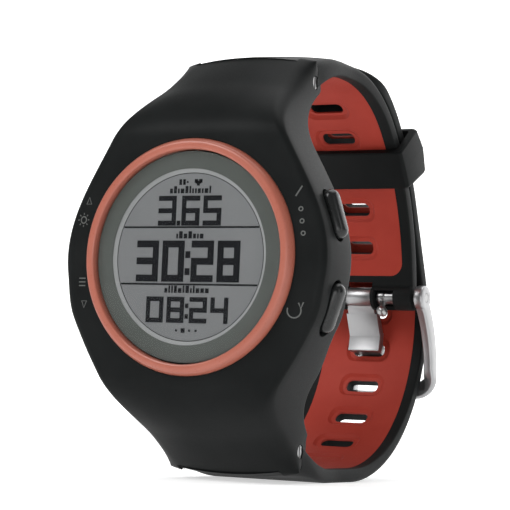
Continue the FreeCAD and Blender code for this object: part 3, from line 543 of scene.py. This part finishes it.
def boss_depth(height, way):
    """Front (-1) or back (1) of the round lug end at a height."""
    rise = min(abs(height), PIN_Z + BOSS_RADIUS) - PIN_Z
    rest = max(BOSS_RADIUS ** 2 - rise ** 2, 0.0)
    return PIN_Y + way * math.sqrt(rest)


def front_middle(height):
    """Depth of the front of the case on its centre line."""
    reach = abs(height)
    if reach <= FLAT_END:
        return CASE_FRONT
    if reach <= SLOPE_START:
        share = (reach - FLAT_END) / (SLOPE_START - FLAT_END)
        return CASE_FRONT + (SLOPE_DEPTH - CASE_FRONT) * share ** 2
    if reach <= TIP_START:
        return SLOPE_DEPTH + SLOPE_RATE * (reach - SLOPE_START)
    return boss_depth(reach, -1)


def front_ridge(height):
    """Depth of the rounded ridge between the front and the side wall."""
    return front_middle(height) + 1.0 * (1 - ease(abs(height), 27.0, 33.0))


def back_edge(height):
    """Depth of the back edge of the side wall."""
    reach = abs(height)
    plain = CASE_BACK + 0.085 * max(reach - 18.5, 0.0) ** 2 + 2.4 * ease(-height, 11.0, 19.0)
    return min(plain, boss_depth(max(reach, 28.6), 1))


def crown(x, share):
    """How far the outside of the watch's ends is arched up at a place across it."""
    return CROWN * max(1 - (x / 13.0) ** 2, 0.0) * share


def case_row(height):
    """One closed level section of the case."""
    half = ridge_half(height)
    front, ridge, back = front_middle(height), front_ridge(height), back_edge(height)
    deep = max(back - ridge, 0.05)
    roll = min(mixed(0.9, 3.8, ease(abs(height), 19.0, 29.0)), deep * 0.45)
    foot = min(1.0, deep * 0.25)
    wall = half + 0.18
    flat = half * mixed(RIM_SHARE, 0.78, ease(abs(height), 21.0, 31.0))
    drop = (ridge - front) * RIM_DROP
    points = [(flat * k / 12, front + drop * (k / 12) ** 4) for k in range(13)]
    lead = front + drop
    for turn in quarter(6, 1):
        points.append((mixed(flat, wall, math.sin(turn)),
                       mixed(lead, ridge + roll, 1 - math.cos(turn))))
    heel_half = half - 0.35
    for k in range(1, 6):
        share = k / 6
        points.append((mixed(wall, heel_half, share ** 2),
                       mixed(ridge + roll, back - foot, share)))
    for turn in quarter(5):
        points.append((heel_half - foot * (1 - math.cos(turn)), back - foot * (1 - math.sin(turn))))
    inner = heel_half - foot
    points += [(inner * (1 - k / 6), back) for k in range(1, 7)]
    left = [(-x, y) for x, y in reversed(points[1:-1])]
    lift = math.copysign(ease(abs(height), 22.0, 33.0), height)
    return [(x, y, height + crown(x, lift) * (1 - ease(y, ridge + 1.0, back)))
            for x, y in points + left]


def button_axis(number):
    """Outward direction and tilt of one of the four buttons."""
    lean = math.asin(BUTTON_LIFT / CASE_HALF) * (-1 if number % 2 else 1)
    side = -1 if number > 1 else 1
    return Vector((side * math.cos(lean), 0.0, math.sin(lean))), side, lean


def on_button(number, out, back, lift):
    """A point beside a button: out from the face axis, back from its middle, and up along it."""
    axis, side, lean = button_axis(number)
    rise = Vector((-side * math.sin(lean), 0.0, math.cos(lean)))
    return axis * out + rise * lift + Vector((0.0, BUTTON_BACK + back, 0.0))


def pill_row(number, out, long, wide):
    """A pill outline about a button's axis at a distance out."""
    row, steps = [], 12
    for end in (1, -1):
        for k in range(steps + 1):
            turn = math.pi * k / steps
            lift = end * ((long - wide) / 2 + wide / 2 * math.sin(turn))
            row.append(tuple(on_button(number, out, end * wide / 2 * math.cos(turn), lift)))
    return row


def screen_spot(x, z):
    """A point that lies just proud of the front of the case."""
    half = ridge_half(z) * RIM_SHARE
    share = min(abs(x) / half, 1.0)
    front, ridge = front_middle(z), front_ridge(z)
    return x, front + (ridge - front) * RIM_DROP * share ** 4, z


LUG_BLOCKS = {}


def make_case():
    """The moulded case: one smooth shell, bored for the face, the cover, buttons and straps."""
    levels = [-33.66 + 0.5 * (1 - math.cos(math.pi * k / 8)) * 1.4 for k in range(8)]
    middle = [-32.2 + 64.4 * k / 112 for k in range(113)]
    rows = [case_row(z) for z in levels + middle + [-z for z in reversed(levels)]]
    case = skin("case_moulding", rows)
    for way in (1, -1):
        block = case.copy()
        block.data = case.data.copy()
        show(block)
        swell = block.modifiers.new("swell", "DISPLACE")
        swell.strength = 0.06 * MM
        swell.mid_level = 0.0
        LUG_BLOCKS[way] = settle(block)
    tools = [disc_tool(RING_SEAT, -2.0, 2.4), disc_tool(STACK_WELL, -2.0, 11.0),
             disc_tool(COVER_SEAT, 11.6, 20.0)]
    for way in (1, -1):
        tools.append(cross_rod("tool", PIN_Y, PIN_Z * way, 2.75, -GAP_HALF, GAP_HALF))
        lean = math.radians(LUG_TURN)
        go, out = Vector((math.cos(lean), math.sin(lean))), Vector((-math.sin(lean), math.cos(lean)))
        spots = [Vector((PIN_Y, PIN_Z)) + go * a + out * b
                 for a, b in ((0.0, -8.0), (14.0, -8.0), (14.0, 8.0), (0.0, 8.0))]
        tools.append(cross_block("tool", [(y, z * way) for y, z in spots], (-GAP_HALF, GAP_HALF)))
        for left, right in ((11.25, 14.0), (-14.0, -11.25)):
            tools.append(cross_rod("tool", PIN_Y, PIN_Z * way, PIN_HOLE, left, right))
    for number in range(4):
        long, wide = BUTTON_LONG + 0.5, BUTTON_WIDE + 0.5
        pocket = [pill_row(number, 21.2, long, wide), pill_row(number, 23.0, long, wide),
                  pill_row(number, 24.6, long + 1.9, wide + 1.9)]
        tools.append(skin("tool", pocket))
        bore = [pill_row(number, 15.0, 2.0, 2.0), pill_row(number, 22.0, 2.0, 2.0)]
        tools.append(skin("tool", bore))
    shaped_by(case, tools)
    dress(case, "case", "case", ["case_shell"], 32)


def make_buttons():
    """Four glossy pills with crowned faces, each on its stem."""
    long, wide = BUTTON_LONG, BUTTON_WIDE
    base, shoulder, top = 22.2, 23.6, 25.0
    for number, place in enumerate(BUTTON_PLACES):
        rows = [pill_row(number, 17.0, 1.8, 1.8), pill_row(number, 21.9, 1.8, 1.8)]
        stem = skin("stem", rows)
        rows = [pill_row(number, base, long - 0.3, wide - 0.3),
                pill_row(number, base + 0.2, long, wide), pill_row(number, shoulder, long, wide)]
        for turn in quarter(8, 1)[:-1]:
            shrink = 2.6 * (1 - math.cos(turn))
            rows.append(pill_row(number, mixed(shoulder, top, math.sin(turn)),
                                 long - shrink, wide - shrink))
        cap = skin("button_" + place + "_cap", rows)
        shaped_by(cap, [stem], "UNION")
        dress(cap, "button_" + place, "button", ["button_" + place], 50)


# ---- face

GLASS_FRONT, GLASS_BACK = 0.18, 1.2
WINDOW, SCREEN = 14.1, 13.5
SCREEN_FRONT, SCREEN_BACK = 1.7, 2.2
SEGMENTS = {"0": "abcdefhi", "2": "abged", "3": "abgcd", "4": "fgbcjkl", "5": "afgcd",
            "6": "afgedc", "8": "abcdefg"}
SIGNS = ((-2.2, 12.0, 0.45, 0.9), (-1.5, 12.0, 0.45, 0.9), (-0.9, 12.0, 0.3, 0.3),
         (0.7, 12.15, 0.6, 0.6), (1.5, 12.15, 0.6, 0.6), (1.1, 11.95, 1.0, 0.45),
         (1.1, 11.6, 0.5, 0.4))


def make_ring():
    """The coloured ring: a flat face, a rounded rim and a steep inner lip."""
    profile = [(17.16, 2.3), (17.16, 0.22), (17.28, 0.06), (17.5, 0.01), (18.15, 0.01),
               (18.35, 0.06), (18.55, 0.25), (18.95, 1.05), (18.99, 1.3), (18.99, 2.3)]
    ring = turned("accent_ring_turned", profile)
    dress(ring, "case", "ring", ["accent_ring"], 50)


def make_glass():
    """The watch glass, flat with a small chamfer."""
    profile = [(0.0, GLASS_BACK), (0.0, GLASS_FRONT), (16.6, GLASS_FRONT), (16.85, 0.26),
               (16.98, 0.5), (16.98, GLASS_BACK)]
    rows = circle_rows(profile[1:] + profile[:1], 128)
    glass = skin("watch_glass", rows, ring=True)
    dress(glass, "case", "glass", ["lens"], 30)


def make_display():
    """The display's plate, the pale slope round it and the printed border of the glass."""
    plate = turned("display_plate", [(0.0, SCREEN_BACK), (0.0, SCREEN_FRONT),
                                     (SCREEN + 0.1, SCREEN_FRONT), (SCREEN + 0.1, SCREEN_BACK)])
    dress(plate, "case", "display", ["lcd_panel"])
    slope = turned("display_reflector", [(WINDOW, 1.34), (WINDOW + 0.2, 1.34),
                                         (WINDOW + 0.2, SCREEN_BACK), (SCREEN + 0.12, SCREEN_BACK),
                                         (SCREEN, SCREEN_FRONT - 0.02)])
    dress(slope, "case", "bezel", ["lcd_bezel"], 30)
    inner, outer, near, far = WINDOW + 0.02, 16.9, GLASS_BACK + 0.02, 1.33
    border = turned("glass_border", [(inner, near), (outer, near), (outer, far), (inner, far)])
    dress(border, "case", "mask", ["mask_ring"])


def make_figures():
    """The figures, rules and dots on the display, as thin bars on its surface."""
    bars = []

    def bar(x, z, wide, high):
        bars.append((x, z, wide, high))

    def figure(sign, left, base, wide, high, thick):
        """Segments a to g as on any counter; h to l fill the corners that they leave open."""
        mid = base + high / 2
        tall = high / 2 - thick * 1.5
        upper, lower = mid + thick / 2 + tall / 2, mid - thick / 2 - tall / 2
        centre, near, far = left + wide / 2, left + thick / 2, left + wide - thick / 2
        roof, foot = base + high - thick / 2, base + thick / 2
        places = {
            "a": (centre, roof, wide, thick), "g": (centre, mid, wide, thick),
            "d": (centre, foot, wide, thick), "b": (far, upper, thick, tall),
            "f": (near, upper, thick, tall), "c": (far, lower, thick, tall),
            "e": (near, lower, thick, tall), "j": (near, roof, thick, thick),
            "k": (far, roof, thick, thick), "l": (far, foot, thick, thick),
            "h": (near, mid, thick, thick), "i": (far, mid, thick, thick),
        }
        for part in SEGMENTS[sign]:
            bar(*places[part])

    def number(text, left, right, base, top, thick, gap):
        """A row of figures between two sides, with narrow points."""
        points = text.count(":") + text.count(".")
        narrow, close = 0.8 * thick, 0.3 * gap
        signs = len(text) - points
        plain = gap * (signs - 1 - points)
        wide = (right - left - points * (narrow + 2 * close) - plain) / signs
        x = left
        for sign in text:
            if sign in ":.":
                x += close - gap
                heights = (0.25, 0.66) if sign == ":" else (thick / 2 / (top - base),)
                for share in heights:
                    bar(x + narrow / 2, base + (top - base) * share, narrow, thick)
                x += narrow + close
                continue
            figure(sign, x, base, wide, top - base, thick)
            x += wide + gap

    number("3.65", -6.1, 5.5, 5.0, 9.8, 0.8, 0.65)
    number("30:28", -9.8, 9.25, -4.0, 2.6, 1.1, 0.7)
    number("08:24", -7.6, 7.5, -10.55, -6.4, 0.75, 0.65)
    draw = random.Random(7)
    for z, wide in ((10.6, 7.6), (3.35, 4.5), (-5.35, 8.0)):
        x = -wide / 2 - 0.3
        while x < wide / 2 - 0.3:
            step = draw.choice((0.28, 0.5, 0.62))
            tall = draw.choice((0.75, 0.75, 1.15))
            bar(x + step / 2, z - 0.4 + tall / 2, step, tall)
            x += step + 0.24
    for k in range(4):
        dot = 0.7 if k == 1 else 0.35
        bar(-1.8 + 1.2 * k, -11.75, dot, dot)
    for x, z, wide, high in SIGNS:
        bar(x, z, wide, high)
    for z in (4.75, -4.4):
        bar(0.0, z, 2 * math.sqrt((SCREEN - 0.2) ** 2 - z ** 2), 0.28)
    mesh = bpy.data.meshes.new("figures")
    mesh.from_pydata([at(x, SCREEN_FRONT - 0.03, z) for x, z, _, _ in bars], [], [])
    sizes = mesh.attributes.new("bar_size", "FLOAT_VECTOR", "POINT")
    for k, (_, _, wide, high) in enumerate(bars):
        sizes.data[k].vector = (wide * MM, 0.05 * MM, high * MM)
    figures = bpy.data.objects.new("display_figures", mesh)
    show(figures)
    change = figures.modifiers.new("bars", "NODES")
    change.node_group = bars_tree()
    settle(figures)
    dress(figures, "case", "ink")
    near, far = SCREEN_FRONT - 0.04, SCREEN_FRONT - 0.01
    ring = turned("display_outline", [(SCREEN - 0.1, far), (SCREEN - 0.1, near), (SCREEN, near),
                                      (SCREEN, far)])
    dress(ring, "case", "ink")


def bars_tree():
    """A tree that puts a bar of its own size on every point."""
    tree = bpy.data.node_groups.new("bars_on_points", "GeometryNodeTree")
    tree.interface.new_socket("Points", in_out="INPUT", socket_type="NodeSocketGeometry")
    tree.interface.new_socket("Bars", in_out="OUTPUT", socket_type="NodeSocketGeometry")
    entry, leave = tree.nodes.new("NodeGroupInput"), tree.nodes.new("NodeGroupOutput")
    cube = tree.nodes.new("GeometryNodeMeshCube")
    put(cube, Size=(1.0, 1.0, 1.0))
    sizes = tree.nodes.new("GeometryNodeInputNamedAttribute")
    sizes.data_type = "FLOAT_VECTOR"
    put(sizes, Name="bar_size")
    copies = tree.nodes.new("GeometryNodeInstanceOnPoints")
    real = tree.nodes.new("GeometryNodeRealizeInstances")
    paint = tree.nodes.new("GeometryNodeSetMaterial")
    put(paint, Material=FINISHES["ink"])
    tree.links.new(entry.outputs["Points"], copies.inputs["Points"])
    tree.links.new(cube.outputs["Mesh"], copies.inputs["Instance"])
    tree.links.new(sizes.outputs["Attribute"], copies.inputs["Scale"])
    tree.links.new(copies.outputs["Instances"], real.inputs["Geometry"])
    tree.links.new(real.outputs["Geometry"], paint.inputs["Geometry"])
    tree.links.new(paint.outputs["Geometry"], leave.inputs["Bars"])
    return tree


# ---- straps

EYE_RADIUS, EYE_HALF = 2.4, 9.45
ROOT_START, ROOT_FADE, ROOT_THICK = 0.08, 8.0, 4.65
LINER_ROUND, LINER_CORNER = 8.0, 2.4


def stadium_rows(line, distance, out, levels):
    """Slot outlines across a strap at one place, one for each (height, width, length)."""
    rows = []
    for height, wide, long in levels:
        y, z, angle = along(line, distance, height * out)
        round_at = min(long * 0.42, long / 2 - 0.02)
        row = []
        for corner, (sx, sl) in enumerate(((1, 1), (-1, 1), (-1, -1), (1, -1))):
            for k in range(6):
                turn = math.pi / 2 * (corner + k / 5)
                x = sx * (wide / 2 - round_at) + round_at * math.cos(turn)
                run = sl * (long / 2 - round_at) + round_at * math.sin(turn)
                row.append((x, y + math.cos(angle) * run, z + math.sin(angle) * run))
        rows.append(row)
    return rows


def slot_tools(line, out, through, blind, thick):
    """Cutters for the slots and for the shallow soft-edged wells about them."""
    tools = []
    for distance in through:
        tools.append(skin("tool", stadium_rows(line, distance, out, [
            (-1.0, SLOT_WIDE, SLOT_HIGH), (thick + 1.0, SLOT_WIDE, SLOT_HIGH)])))
    for distance in list(through) + list(blind):
        tools.append(skin("tool", stadium_rows(line, distance, out, [
            (-0.3, SLOT_WIDE + 3.2, SLOT_HIGH + 2.6), (0.1, SLOT_WIDE + 2.2, SLOT_HIGH + 1.9),
            (0.4, SLOT_WIDE + 1.4, SLOT_HIGH + 1.2)])))
    return tools


def liner_tool(line, out, begin, finish, grow, low, high):
    """The liner's block: round-ended, a little larger by grow."""
    first, corner = LINER_ROUND + grow, LINER_CORNER + grow

    def half(distance):
        wide = LINER_HALF + grow + 0.9 * (1 - ease(distance, 8.0, 22.0))
        from_start, to_end = distance - (begin - grow), finish + grow - distance
        return min(tip_half(wide, max(from_start, 0.0), first),
                   tip_half(wide, max(to_end, 0.0), corner))

    count = 90
    stations = [begin - grow + first * (1 - math.cos(turn)) for turn in quarter(16)]
    last = finish + grow - corner
    stations += [mixed(stations[-1], last, k / count) for k in range(1, count + 1)]
    stations += [finish + grow - corner * (1 - math.cos(turn)) for turn in quarter(12)[-2::-1]]
    rows = []
    for distance in stations:
        wide = max(half(distance), 0.02)
        row = []
        for x, height in ((wide, low), (wide, high), (-wide, high), (-wide, low)):
            y, z, _ = along(line, distance, height * out)
            row.append((x, y, z))
        rows.append(row)
    return skin("liner", rows)


def make_strap(name, line, out, thick, half_at, liner, through, blind, way, tip):
    """A strap half and its coloured liner."""
    total = UPPER_LONG if way > 0 else LOWER_LONG

    def width(distance):
        return tip_half(half_at(distance), total - distance, tip)

    def height(distance):
        return thick + (ROOT_THICK - thick) * max(1 - distance / ROOT_FADE, 0.0) ** 2

    def arch(distance):
        return 1 - ease(distance, 1.0, 24.0 if way > 0 else 9.0)

    def openings():
        tools = slot_tools(line, out, through, blind, thick)
        return tools + buckle_room() if way > 0 else tools

    strap = strip(name + "_band", line, out, ROOT_START, total, 0.0, height, width, arch,
                  (0.3, 0.8, 1.0))
    shaped_by(strap, [LUG_BLOCKS.pop(way)])
    root = strip("root", line, out, ROOT_START, 7.0, 0.02,
                 lambda distance: height(distance) - 0.02, lambda distance: EYE_HALF, arch,
                 (0.1, 0.1, 0.0))
    tools = [root, cross_rod("eye", PIN_Y, PIN_Z * way, EYE_RADIUS, -EYE_HALF, EYE_HALF)]
    if way > 0:
        tools.append(cross_rod("eye", BAR_Y, BAR_Z, EYE_RADIUS, -11.0, 11.0, edge=0.3))
    shaped_by(strap, tools, "UNION")
    cuts = [cross_rod("tool", PIN_Y, PIN_Z * way, 1.0, -20.0, 20.0),
            liner_tool(line, out, *liner, 0.03, -1.0, LINER_THICK)]
    shaped_by(strap, cuts + openings())
    plate = liner_tool(line, out, *liner, 0.0, 0.0, LINER_THICK - 0.02)
    plate.name = name + "_liner_sheet"
    shaped_by(plate, openings())
    dress(strap, "case", "strap", [name + "_strap"], 32)
    dress(plate, "case", "liner", [name + "_liner"], 32)


def buckle_room():
    """Cutters for the bar, the tongue and the knob in the end of the upper strap."""
    tools = [cross_rod("tool", BAR_Y, BAR_Z, BAR_BORE, -12.0, 12.0),
             cross_rod("tool", BAR_Y, BAR_Z, 3.0, -NOTCH_HALF, NOTCH_HALF),
             cross_rod("tool", BAR_Y, BAR_Z, 1.75, *KNOB_ROOM)]
    below = ((-3.0, 0.0), (3.0, 0.0), (3.0, -3.0), (-3.0, -3.0))
    inside = ((-4.0, -4.0), (0.5, -4.0), (0.5, 1.2), (-4.0, 1.2))
    for corners, ends in ((below, (-NOTCH_HALF, NOTCH_HALF)), (inside, KNOB_ROOM)):
        tools.append(cross_block("tool", [(BAR_Y + y, BAR_Z + z) for y, z in corners], ends))
    return tools


def make_straps():
    """Both halves of the strap, flared at the case, with their rows of slots."""
    def upper_half(distance):
        return 11.0 + 1.12 * (1 - ease(distance, 3.0, 18.0))

    def lower_half(distance):
        return 10.8 + 1.32 * (1 - ease(distance, 3.0, 18.0))

    upper_slots = [UPPER_LONG - 9.0 - k * SLOT_PITCH for k in range(5)]
    make_strap("upper", UPPER_LINE, 1, UPPER_THICK, upper_half, (6.5, UPPER_LONG - 3.9),
               upper_slots, [], 1, 0.0)
    lower_slots = [HOLE_AT + k * SLOT_PITCH for k in range(-3, 7)]
    make_strap("lower", LOWER_LINE, -1, LOWER_THICK, lower_half, (6.5, LOWER_LONG - 12.0),
               lower_slots, [HOLE_AT - 4 * SLOT_PITCH], -1, 8.0)


# ---- keeper and buckle

FRAME_END, FRAME_BOW = Vector((70.32, -19.27)), 1.8


def flank_spot(radius, degrees):
    """Depth and height at a radius and an angle about the middle of the flank's arc."""
    turn = math.radians(degrees)
    return FLANK_Y + radius * math.cos(turn), FLANK_Z + radius * math.sin(turn)


def make_keeper():
    """The loop that holds the tail: two slanted outer faces that meet in a ridge."""
    middle, long, half, wall, peak = 33.3, 8.5, 11.3, 1.3, 1.0
    inner, outer = 44.7, 46.4 + UPPER_THICK + LOWER_THICK
    span = math.degrees(long / outer)
    shares = [0.0, 0.04, 0.25, 0.46, 0.5, 0.54, 0.75, 0.96, 1.0]
    rows = []

    def loop(low, high, reach, degrees, corner):
        row = []
        for sx, height, first in ((1, high, 0), (-1, high, 1), (-1, low, 2), (1, low, 3)):
            for k in range(5):
                turn = math.pi / 2 * (first + k / 4)
                x = sx * (reach - corner) + corner * math.cos(turn)
                lift = height + (-corner if first < 2 else corner) + corner * math.sin(turn)
                y, z = flank_spot(lift, degrees)
                row.append((x, y, z))
        return row

    for share in shares:
        rise = peak * (1.0 - abs(share - 0.5) * 2)
        edge = 0.16 if share in (0.0, 1.0) else 0.0
        rows.append(loop(inner - wall + edge, outer + 0.9 + rise - edge, half + wall - edge,
                         middle - span / 2 + span * share, 0.9))
    for share in reversed(shares):
        rows.append(loop(inner, outer, half, middle - span / 2 + span * share, 0.6))
    keeper = skin("keeper_loop", rows, ring=True)
    dress(keeper, "keeper", "case", ["keeper"], 14)


def frame_line(share):
    """Place, outward direction and run of the side-view arc from the bar to the crossbar."""
    chord = FRAME_END - Vector((BAR_Y, BAR_Z))
    out = Vector((-chord.y, chord.x)).normalized()
    point = Vector((BAR_Y, BAR_Z)) + chord * share + out * (FRAME_BOW * 4 * share * (1 - share))
    lean = (chord + out * FRAME_BOW * 4 * (1 - 2 * share)).normalized()
    return point, Vector((-lean.y, lean.x)), lean


def make_buckle():
    """The frame: two stepped arms and a rounded crossbar swept as one piece."""
    arm_x, bend, long = 12.45, 3.0, 17.85
    path = [(arm_x, k / 14 * (long - bend)) for k in range(15)]
    for turn in quarter(8, 1):
        path.append((arm_x - bend * (1 - math.cos(turn)), long - bend + bend * math.sin(turn)))
    path += [((arm_x - bend) * (1 - k / 5), long) for k in range(1, 6)]
    path += [(-x, s) for x, s in reversed(path[:-1])]
    rows = []
    for k, (x, s) in enumerate(path):
        px, ps = path[max(k - 1, 0)]
        nx, ns = path[min(k + 1, len(path) - 1)]
        go = Vector((nx - px, ns - ps)).normalized()
        side = Vector((-go.y, go.x))
        if side.x * x + side.y * (s - long / 2) < 0:
            side = -side
        cross = ease(min(s, long), long - 4.0, long)
        w, h = mixed(1.7, 3.0, cross) / 2, mixed(3.9, 1.9, cross) / 2
        point, out, lean = frame_line(min(s, long) / long)
        step = w - mixed(0.85, 0.9, cross) * 0.55
        section = [(-w, -h + 0.25), (-w + 0.25, -h), (w - 0.35, -h), (w, -h + 0.35),
                   (w, h * 0.05), (step, h * 0.16), (step, h - 0.5), (step - 0.3, h - 0.08),
                   (-w + 0.35, h), (-w, h - 0.35)]
        row = []
        for a, b in section:
            place = point + lean * (side.y * a) + out * b
            row.append((x + side.x * a, place.x, place.y))
        rows.append(row)
    frame_piece = skin("buckle_frame_swept", rows)
    hubs = []
    for hand in (1, -1):
        left, right = sorted((11.6 * hand, 13.3 * hand))
        hubs.append(cross_rod("hub", BAR_Y, BAR_Z, 2.2, left, right, edge=0.3))
    shaped_by(frame_piece, hubs, "UNION")
    cuts = [cross_rod("tool", BAR_Y, BAR_Z, BAR_BORE, -16.0, 16.0),
            cross_rod("tool", HEEL_Y, HEEL_Z, 29.75, -11.58, 11.58, 200)]
    low, high = math.radians(-26.2), math.radians(-18.0)
    corners = [(HEEL_Y + r * math.cos(a), HEEL_Z + r * math.sin(a)) for r, a in
               ((28.0, low), (34.0, low), (34.0, high), (28.0, high))]
    cuts.append(cross_block("tool", corners, (-NOTCH_HALF, NOTCH_HALF)))
    shaped_by(frame_piece, cuts)
    bevelled(frame_piece, 0.14, 2, 28)
    dress(frame_piece, "buckle_frame", "steel", ["buckle_frame"], 40)


def heel_sector(name, low, high, start, end, half):
    """A curved plate about the middle of the strap's lower bend, between two angles."""
    rows = []
    for k in range(17):
        turn = math.radians(mixed(start, end, k / 16))
        rows.append([(x, HEEL_Y + r * math.cos(turn), HEEL_Z + r * math.sin(turn))
                     for x, r in ((half, low), (half, high), (-half, high), (-half, low))])
    return skin(name, rows)


def make_tongue():
    """The wide tongue: a barrel on the bar, a plate inside the strap and a finger outside."""
    half, broad, inside, outside = TONGUE_HALF, 3.1, 26.4, 29.85
    plate = heel_sector("buckle_tongue_plate", inside - 1.5, inside, -5.5, -13.6, broad)
    riser = heel_sector("riser", inside - 0.6, outside + 1.2, -10.4, -13.58, half - 0.02)
    finger = heel_sector("finger", outside, outside + 1.3, -10.5, -23.1, half - 0.04)
    turn = math.radians(-7.0)
    top = Vector((HEEL_Y + 25.65 * math.cos(turn), HEEL_Z + 25.65 * math.sin(turn)))
    bar = Vector((BAR_Y, BAR_Z))
    run = (top - bar).normalized()
    side = Vector((-run.y, run.x)) * 0.7
    tools = [riser, finger]
    for start, grow, reach in ((bar, 1.0, half - 0.03), (bar + run * 3.1, 1.02, broad - 0.02)):
        ends = [start + side * grow, top + side * grow, top - side * grow, start - side * grow]
        tools.append(cross_block("link", ends, (-reach, reach)))
    shaped_by(plate, tools, "UNION")
    barrel = cross_rod("barrel", BAR_Y, BAR_Z, 1.7, -half, half, edge=0.25)
    shaped_by(plate, [barrel], "UNION")
    shaped_by(plate, [cross_rod("tool", BAR_Y, BAR_Z, BAR_BORE, -16.0, 16.0)])
    bevelled(plate, 0.18, 3, 35)
    dress(plate, "buckle_tongue", "steel", ["buckle_tongue"], 40)


def make_knob():
    """The little ball knob that draws the bar in."""
    ball, reach, neck = 1.05, 3.6, 0.55
    profile = [(0.0, reach + ball)]
    for k in range(1, 10):
        turn = math.pi * k / 11
        profile.append((ball * math.sin(turn), reach + ball * math.cos(turn)))
    profile += [(neck, 2.6), (neck, 0.6), (0.0, 0.6)]
    lean = math.radians(228.0)
    rows = []
    for radius, reach in profile:
        radius = max(radius, 0.01)
        row = []
        for k in range(32):
            turn = 2 * math.pi * k / 32
            side = radius * math.sin(turn)
            row.append((KNOB_X + 0.28 * reach + radius * math.cos(turn),
                        BAR_Y + reach * math.cos(lean) - side * math.sin(lean),
                        BAR_Z + reach * math.sin(lean) + side * math.cos(lean)))
        rows.append(row)
    knob = skin("release_knob_ball", rows)
    collar = cross_rod("collar", BAR_Y, BAR_Z, 1.4, KNOB_X - 0.8, KNOB_X + 0.8, edge=0.15)
    shaped_by(knob, [collar], "UNION")
    shaped_by(knob, [cross_rod("tool", BAR_Y, BAR_Z, BAR_BORE, 0.0, 10.0)])
    dress(knob, "release_knob", "dark_steel", ["release_knob"], 40)


# ---- marks on the case


def make_marks():
    """Small plain signs beside the buttons, printed on the front of the case."""
    strokes = []

    def stroke(points, wide=0.22):
        strokes.append((points, wide))

    def arc(x, z, radius, start, end):
        turns = [math.radians(mixed(start, end, k / 16)) for k in range(17)]
        return [(x + radius * math.cos(turn), z + radius * math.sin(turn)) for turn in turns]

    stroke([(20.0, 9.6), (21.0, 11.2)])
    for k in range(3):
        stroke(arc(21.0 + 0.3 * k, 7.6 - 1.9 * k, 0.32, 0, 360), 0.18)
    stroke(arc(20.6, -8.2, 1.15, 20, -200), 0.2)
    stroke([(21.3, -7.0), (21.7, -7.9), (22.1, -6.9)], 0.2)
    stroke([(-21.5, 8.6), (-21.0, 9.7), (-20.5, 8.6), (-21.5, 8.6)], 0.18)
    stroke(arc(-21.9, 6.0, 0.55, 0, 360), 0.18)
    for k in range(8):
        turn = math.radians(45 * k)
        stroke([(-21.9 + 0.85 * math.cos(turn), 6.0 + 0.85 * math.sin(turn)),
                (-21.9 + 1.15 * math.cos(turn), 6.0 + 1.15 * math.sin(turn))], 0.16)
    for k in range(3):
        stroke([(-22.2, -3.6 - 0.6 * k), (-20.9, -3.6 - 0.6 * k)], 0.18)
    stroke([(-21.5, -7.3), (-21.0, -8.4), (-20.5, -7.3), (-21.5, -7.3)], 0.18)
    shape = bmesh.new()
    for points, wide in strokes:
        closed = math.dist(points[0], points[-1]) < 1e-6
        rims = []
        for k, (x, z) in enumerate(points):
            if closed:
                before, after = points[k - 1 if k else -2], points[(k + 1) % len(points) or 1]
            else:
                before, after = points[max(k - 1, 0)], points[min(k + 1, len(points) - 1)]
            go = Vector((after[0] - before[0], after[1] - before[1])).normalized()
            side = Vector((-go.y, go.x)) * wide / 2
            ring = []
            for way, lift in ((1, 0.02), (1, -0.03), (-1, -0.03), (-1, 0.02)):
                px, py, pz = screen_spot(x - math.copysign(1.4, x) + side.x * way, z + side.y * way)
                ring.append(shape.verts.new(at(px, py + lift, pz)))
            rims.append(ring)
        for near, far in zip(rims, rims[1:]):
            for k in range(4):
                n = (k + 1) % 4
                shape.faces.new((near[k], near[n], far[n], far[k]))
        if not closed:
            shape.faces.new(list(reversed(rims[0])))
            shape.faces.new(rims[-1])
    bmesh.ops.remove_doubles(shape, verts=shape.verts, dist=1e-6)
    marks = from_bmesh("case_signs", shape)
    dress(marks, "case", "mark")


# ---- carried-over nodes

CARRIED = {
    "seal": ["lens_gasket", "back_gasket", "button_seals"],
    "clear": ["light_guide"],
    "cover": ["inner_frame", "back_cover"], "board": ["main_board"],
    "case": ["board_chips", "button_switches"], "foil": ["battery"], "copper": ["gps_antenna"],
    "gold": ["charge_contacts", "buzzer_disc"],
    "dark_steel": ["vibration_motor", "back_screws", "lug_screws", "upper_lug_pin",
                   "lower_lug_pin", "buckle_bar", "knob_spring"],
    "steel": ["button_" + part + place for part in ("spring_", "clip_") for place in BUTTON_PLACES],
}


def paint_nodes():
    """Finish every CAD node that shows as it is."""
    for finish_name, names in CARRIED.items():
        for name in names:
            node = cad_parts[name]
            if not node.material_slots:
                node.data.materials.append(FINISHES[finish_name])
            for place in node.material_slots:
                place.material = FINISHES[finish_name]


make_camera()
make_materials()
make_stage()
make_case()
make_buttons()
make_ring()
make_glass()
make_display()
make_figures()
make_straps()
make_keeper()
make_buckle()
make_tongue()
make_knob()
make_marks()
paint_nodes()
